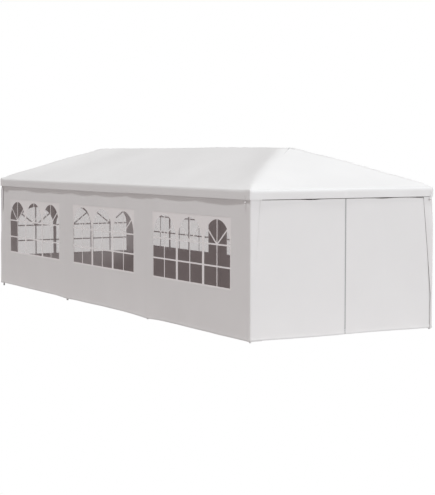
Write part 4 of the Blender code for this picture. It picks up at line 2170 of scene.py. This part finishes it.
@dataclass
class Studio:
    """Camera, lights, sky and floor."""

    camera_place: tuple[float, float, float] = (19.590, -10.546, 2.481)
    camera_aim: tuple[float, float, float] = (-0.86745, 0.49261, -0.06977)
    lens: float = 99.266
    sky: float = 0.25
    sky_colour: tuple[float, float, float] = (1.06, 0.98, 0.975)
    key: tuple[float, float, float] = (0.335, 0.25, 0.09)
    key_colour: tuple[float, float, float] = (0.985, 1.035, 1.065)
    key_spread: float = 25.0
    top: tuple[float, float, float] = (0.05, -0.163, 0.769)
    top_colour: tuple[float, float, float] = (0.98, 1.0, 1.01)
    top_spread: float = 3.5
    floor_colour: tuple[float, float, float] = (0.55, 0.513, 0.505)
    floor_half: float = 60.0

    def build_camera(self) -> None:
        """Set the photograph's camera."""
        data = bpy.data.cameras.new("photo_camera")
        data.lens = self.lens
        data.sensor_width = 36.0
        data.sensor_fit = "AUTO"
        data.clip_end = 300.0
        data.dof.use_dof = False
        camera = add_object("photo_camera", data)
        camera.location = self.camera_place
        camera.rotation_euler = Vector(self.camera_aim).to_track_quat("-Z", "Y").to_euler()
        bpy.context.scene.camera = camera

    def build_sun(self, name: str, towards: tuple[float, float, float],
                  colour: tuple[float, float, float], spread: float) -> None:
        """Add a distant soft light.

        Args:
            name: Name of the light.
            towards: Direction to the light, as long as the light is strong.
            colour: Its colour.
            spread: Its angle in degrees.
        """
        direction = Vector(towards)
        data = bpy.data.lights.new(name, "SUN")
        data.color = colour
        data.energy = math.pi * direction.length
        data.angle = math.radians(spread)
        light = add_object(name, data)
        light.rotation_euler = direction.to_track_quat("Z", "Y").to_euler()

    def build_sky(self) -> None:
        """Even soft sky, plain white to the camera."""
        world = bpy.data.worlds.new("studio_sky")
        world.use_nodes = True
        nodes = world.node_tree.nodes
        soft = nodes["Background"]
        soft.inputs["Color"].default_value = (*self.sky_colour, 1.0)
        soft.inputs["Strength"].default_value = self.sky
        seen = nodes.new("ShaderNodeBackground")
        seen.inputs["Color"].default_value = (1.0, 1.0, 1.0, 1.0)
        show_to_camera(world.node_tree, soft, seen, nodes["World Output"].inputs["Surface"])
        bpy.context.scene.world = world

    def build_floor(self) -> None:
        """A plain pale floor that looks white to the camera."""
        drawn = bmesh.new()
        bmesh.ops.create_grid(drawn, x_segments=1, y_segments=1, size=self.floor_half)
        mesh = bpy.data.meshes.new("studio_floor")
        drawn.to_mesh(mesh)
        drawn.free()
        floor = add_object("studio_floor", mesh)
        material = bpy.data.materials.new("studio_floor")
        material.use_nodes = True
        tree = material.node_tree
        tree.nodes.remove(tree.nodes["Principled BSDF"])
        matt = tree.nodes.new("ShaderNodeBsdfDiffuse")
        matt.inputs["Color"].default_value = (*self.floor_colour, 1.0)
        glow = tree.nodes.new("ShaderNodeEmission")
        show_to_camera(tree, matt, glow, tree.nodes["Material Output"].inputs["Surface"])
        mesh.materials.append(material)

    def build(self) -> None:
        """Set up the whole studio."""
        self.build_camera()
        self.build_sun("key_light", self.key, self.key_colour, self.key_spread)
        self.build_sun("top_light", self.top, self.top_colour, self.top_spread)
        self.build_sky()
        self.build_floor()
        bpy.context.scene.view_settings.view_transform = "Standard"


def main() -> None:
    """Dress the tent, sub-assembly by sub-assembly."""
    logging.basicConfig(level=logging.INFO, format="%(name)s: %(message)s")
    Studio().build()
    finishes = Finishes()
    FrameDress(finishes).build()
    RoofCover(finishes).build()
    side_shape = WindowShape(SIDE_SILL, SIDE_SPRING)
    for side in ("right", "left"):
        SideWall(side, finishes).build(side_shape)
    RearWall(finishes).build(WindowShape(REAR_SILL, REAR_SPRING, cross_bar_drop=REAR_BAR_DROP))
    Door(finishes).build()
    for side in ("right", "left"):
        outside = (RIGHT_OUTSIDE_TIE,) if side == "right" else ()
        Ties(side, SideSurface(side == "left"), finishes, SideSurface.ties[:-1],
             outside=outside).build()
    Ties("rear", RearSurface(), finishes, REAR_TIES).build()
    Ties("front", FrontSurface(), finishes, FRONT_TIES, wall_top=CURTAIN_TOP,
         outside=(FRONT_OUTSIDE_TIE,), eyelet=None).build()


if __name__ == "__main__":
    main()
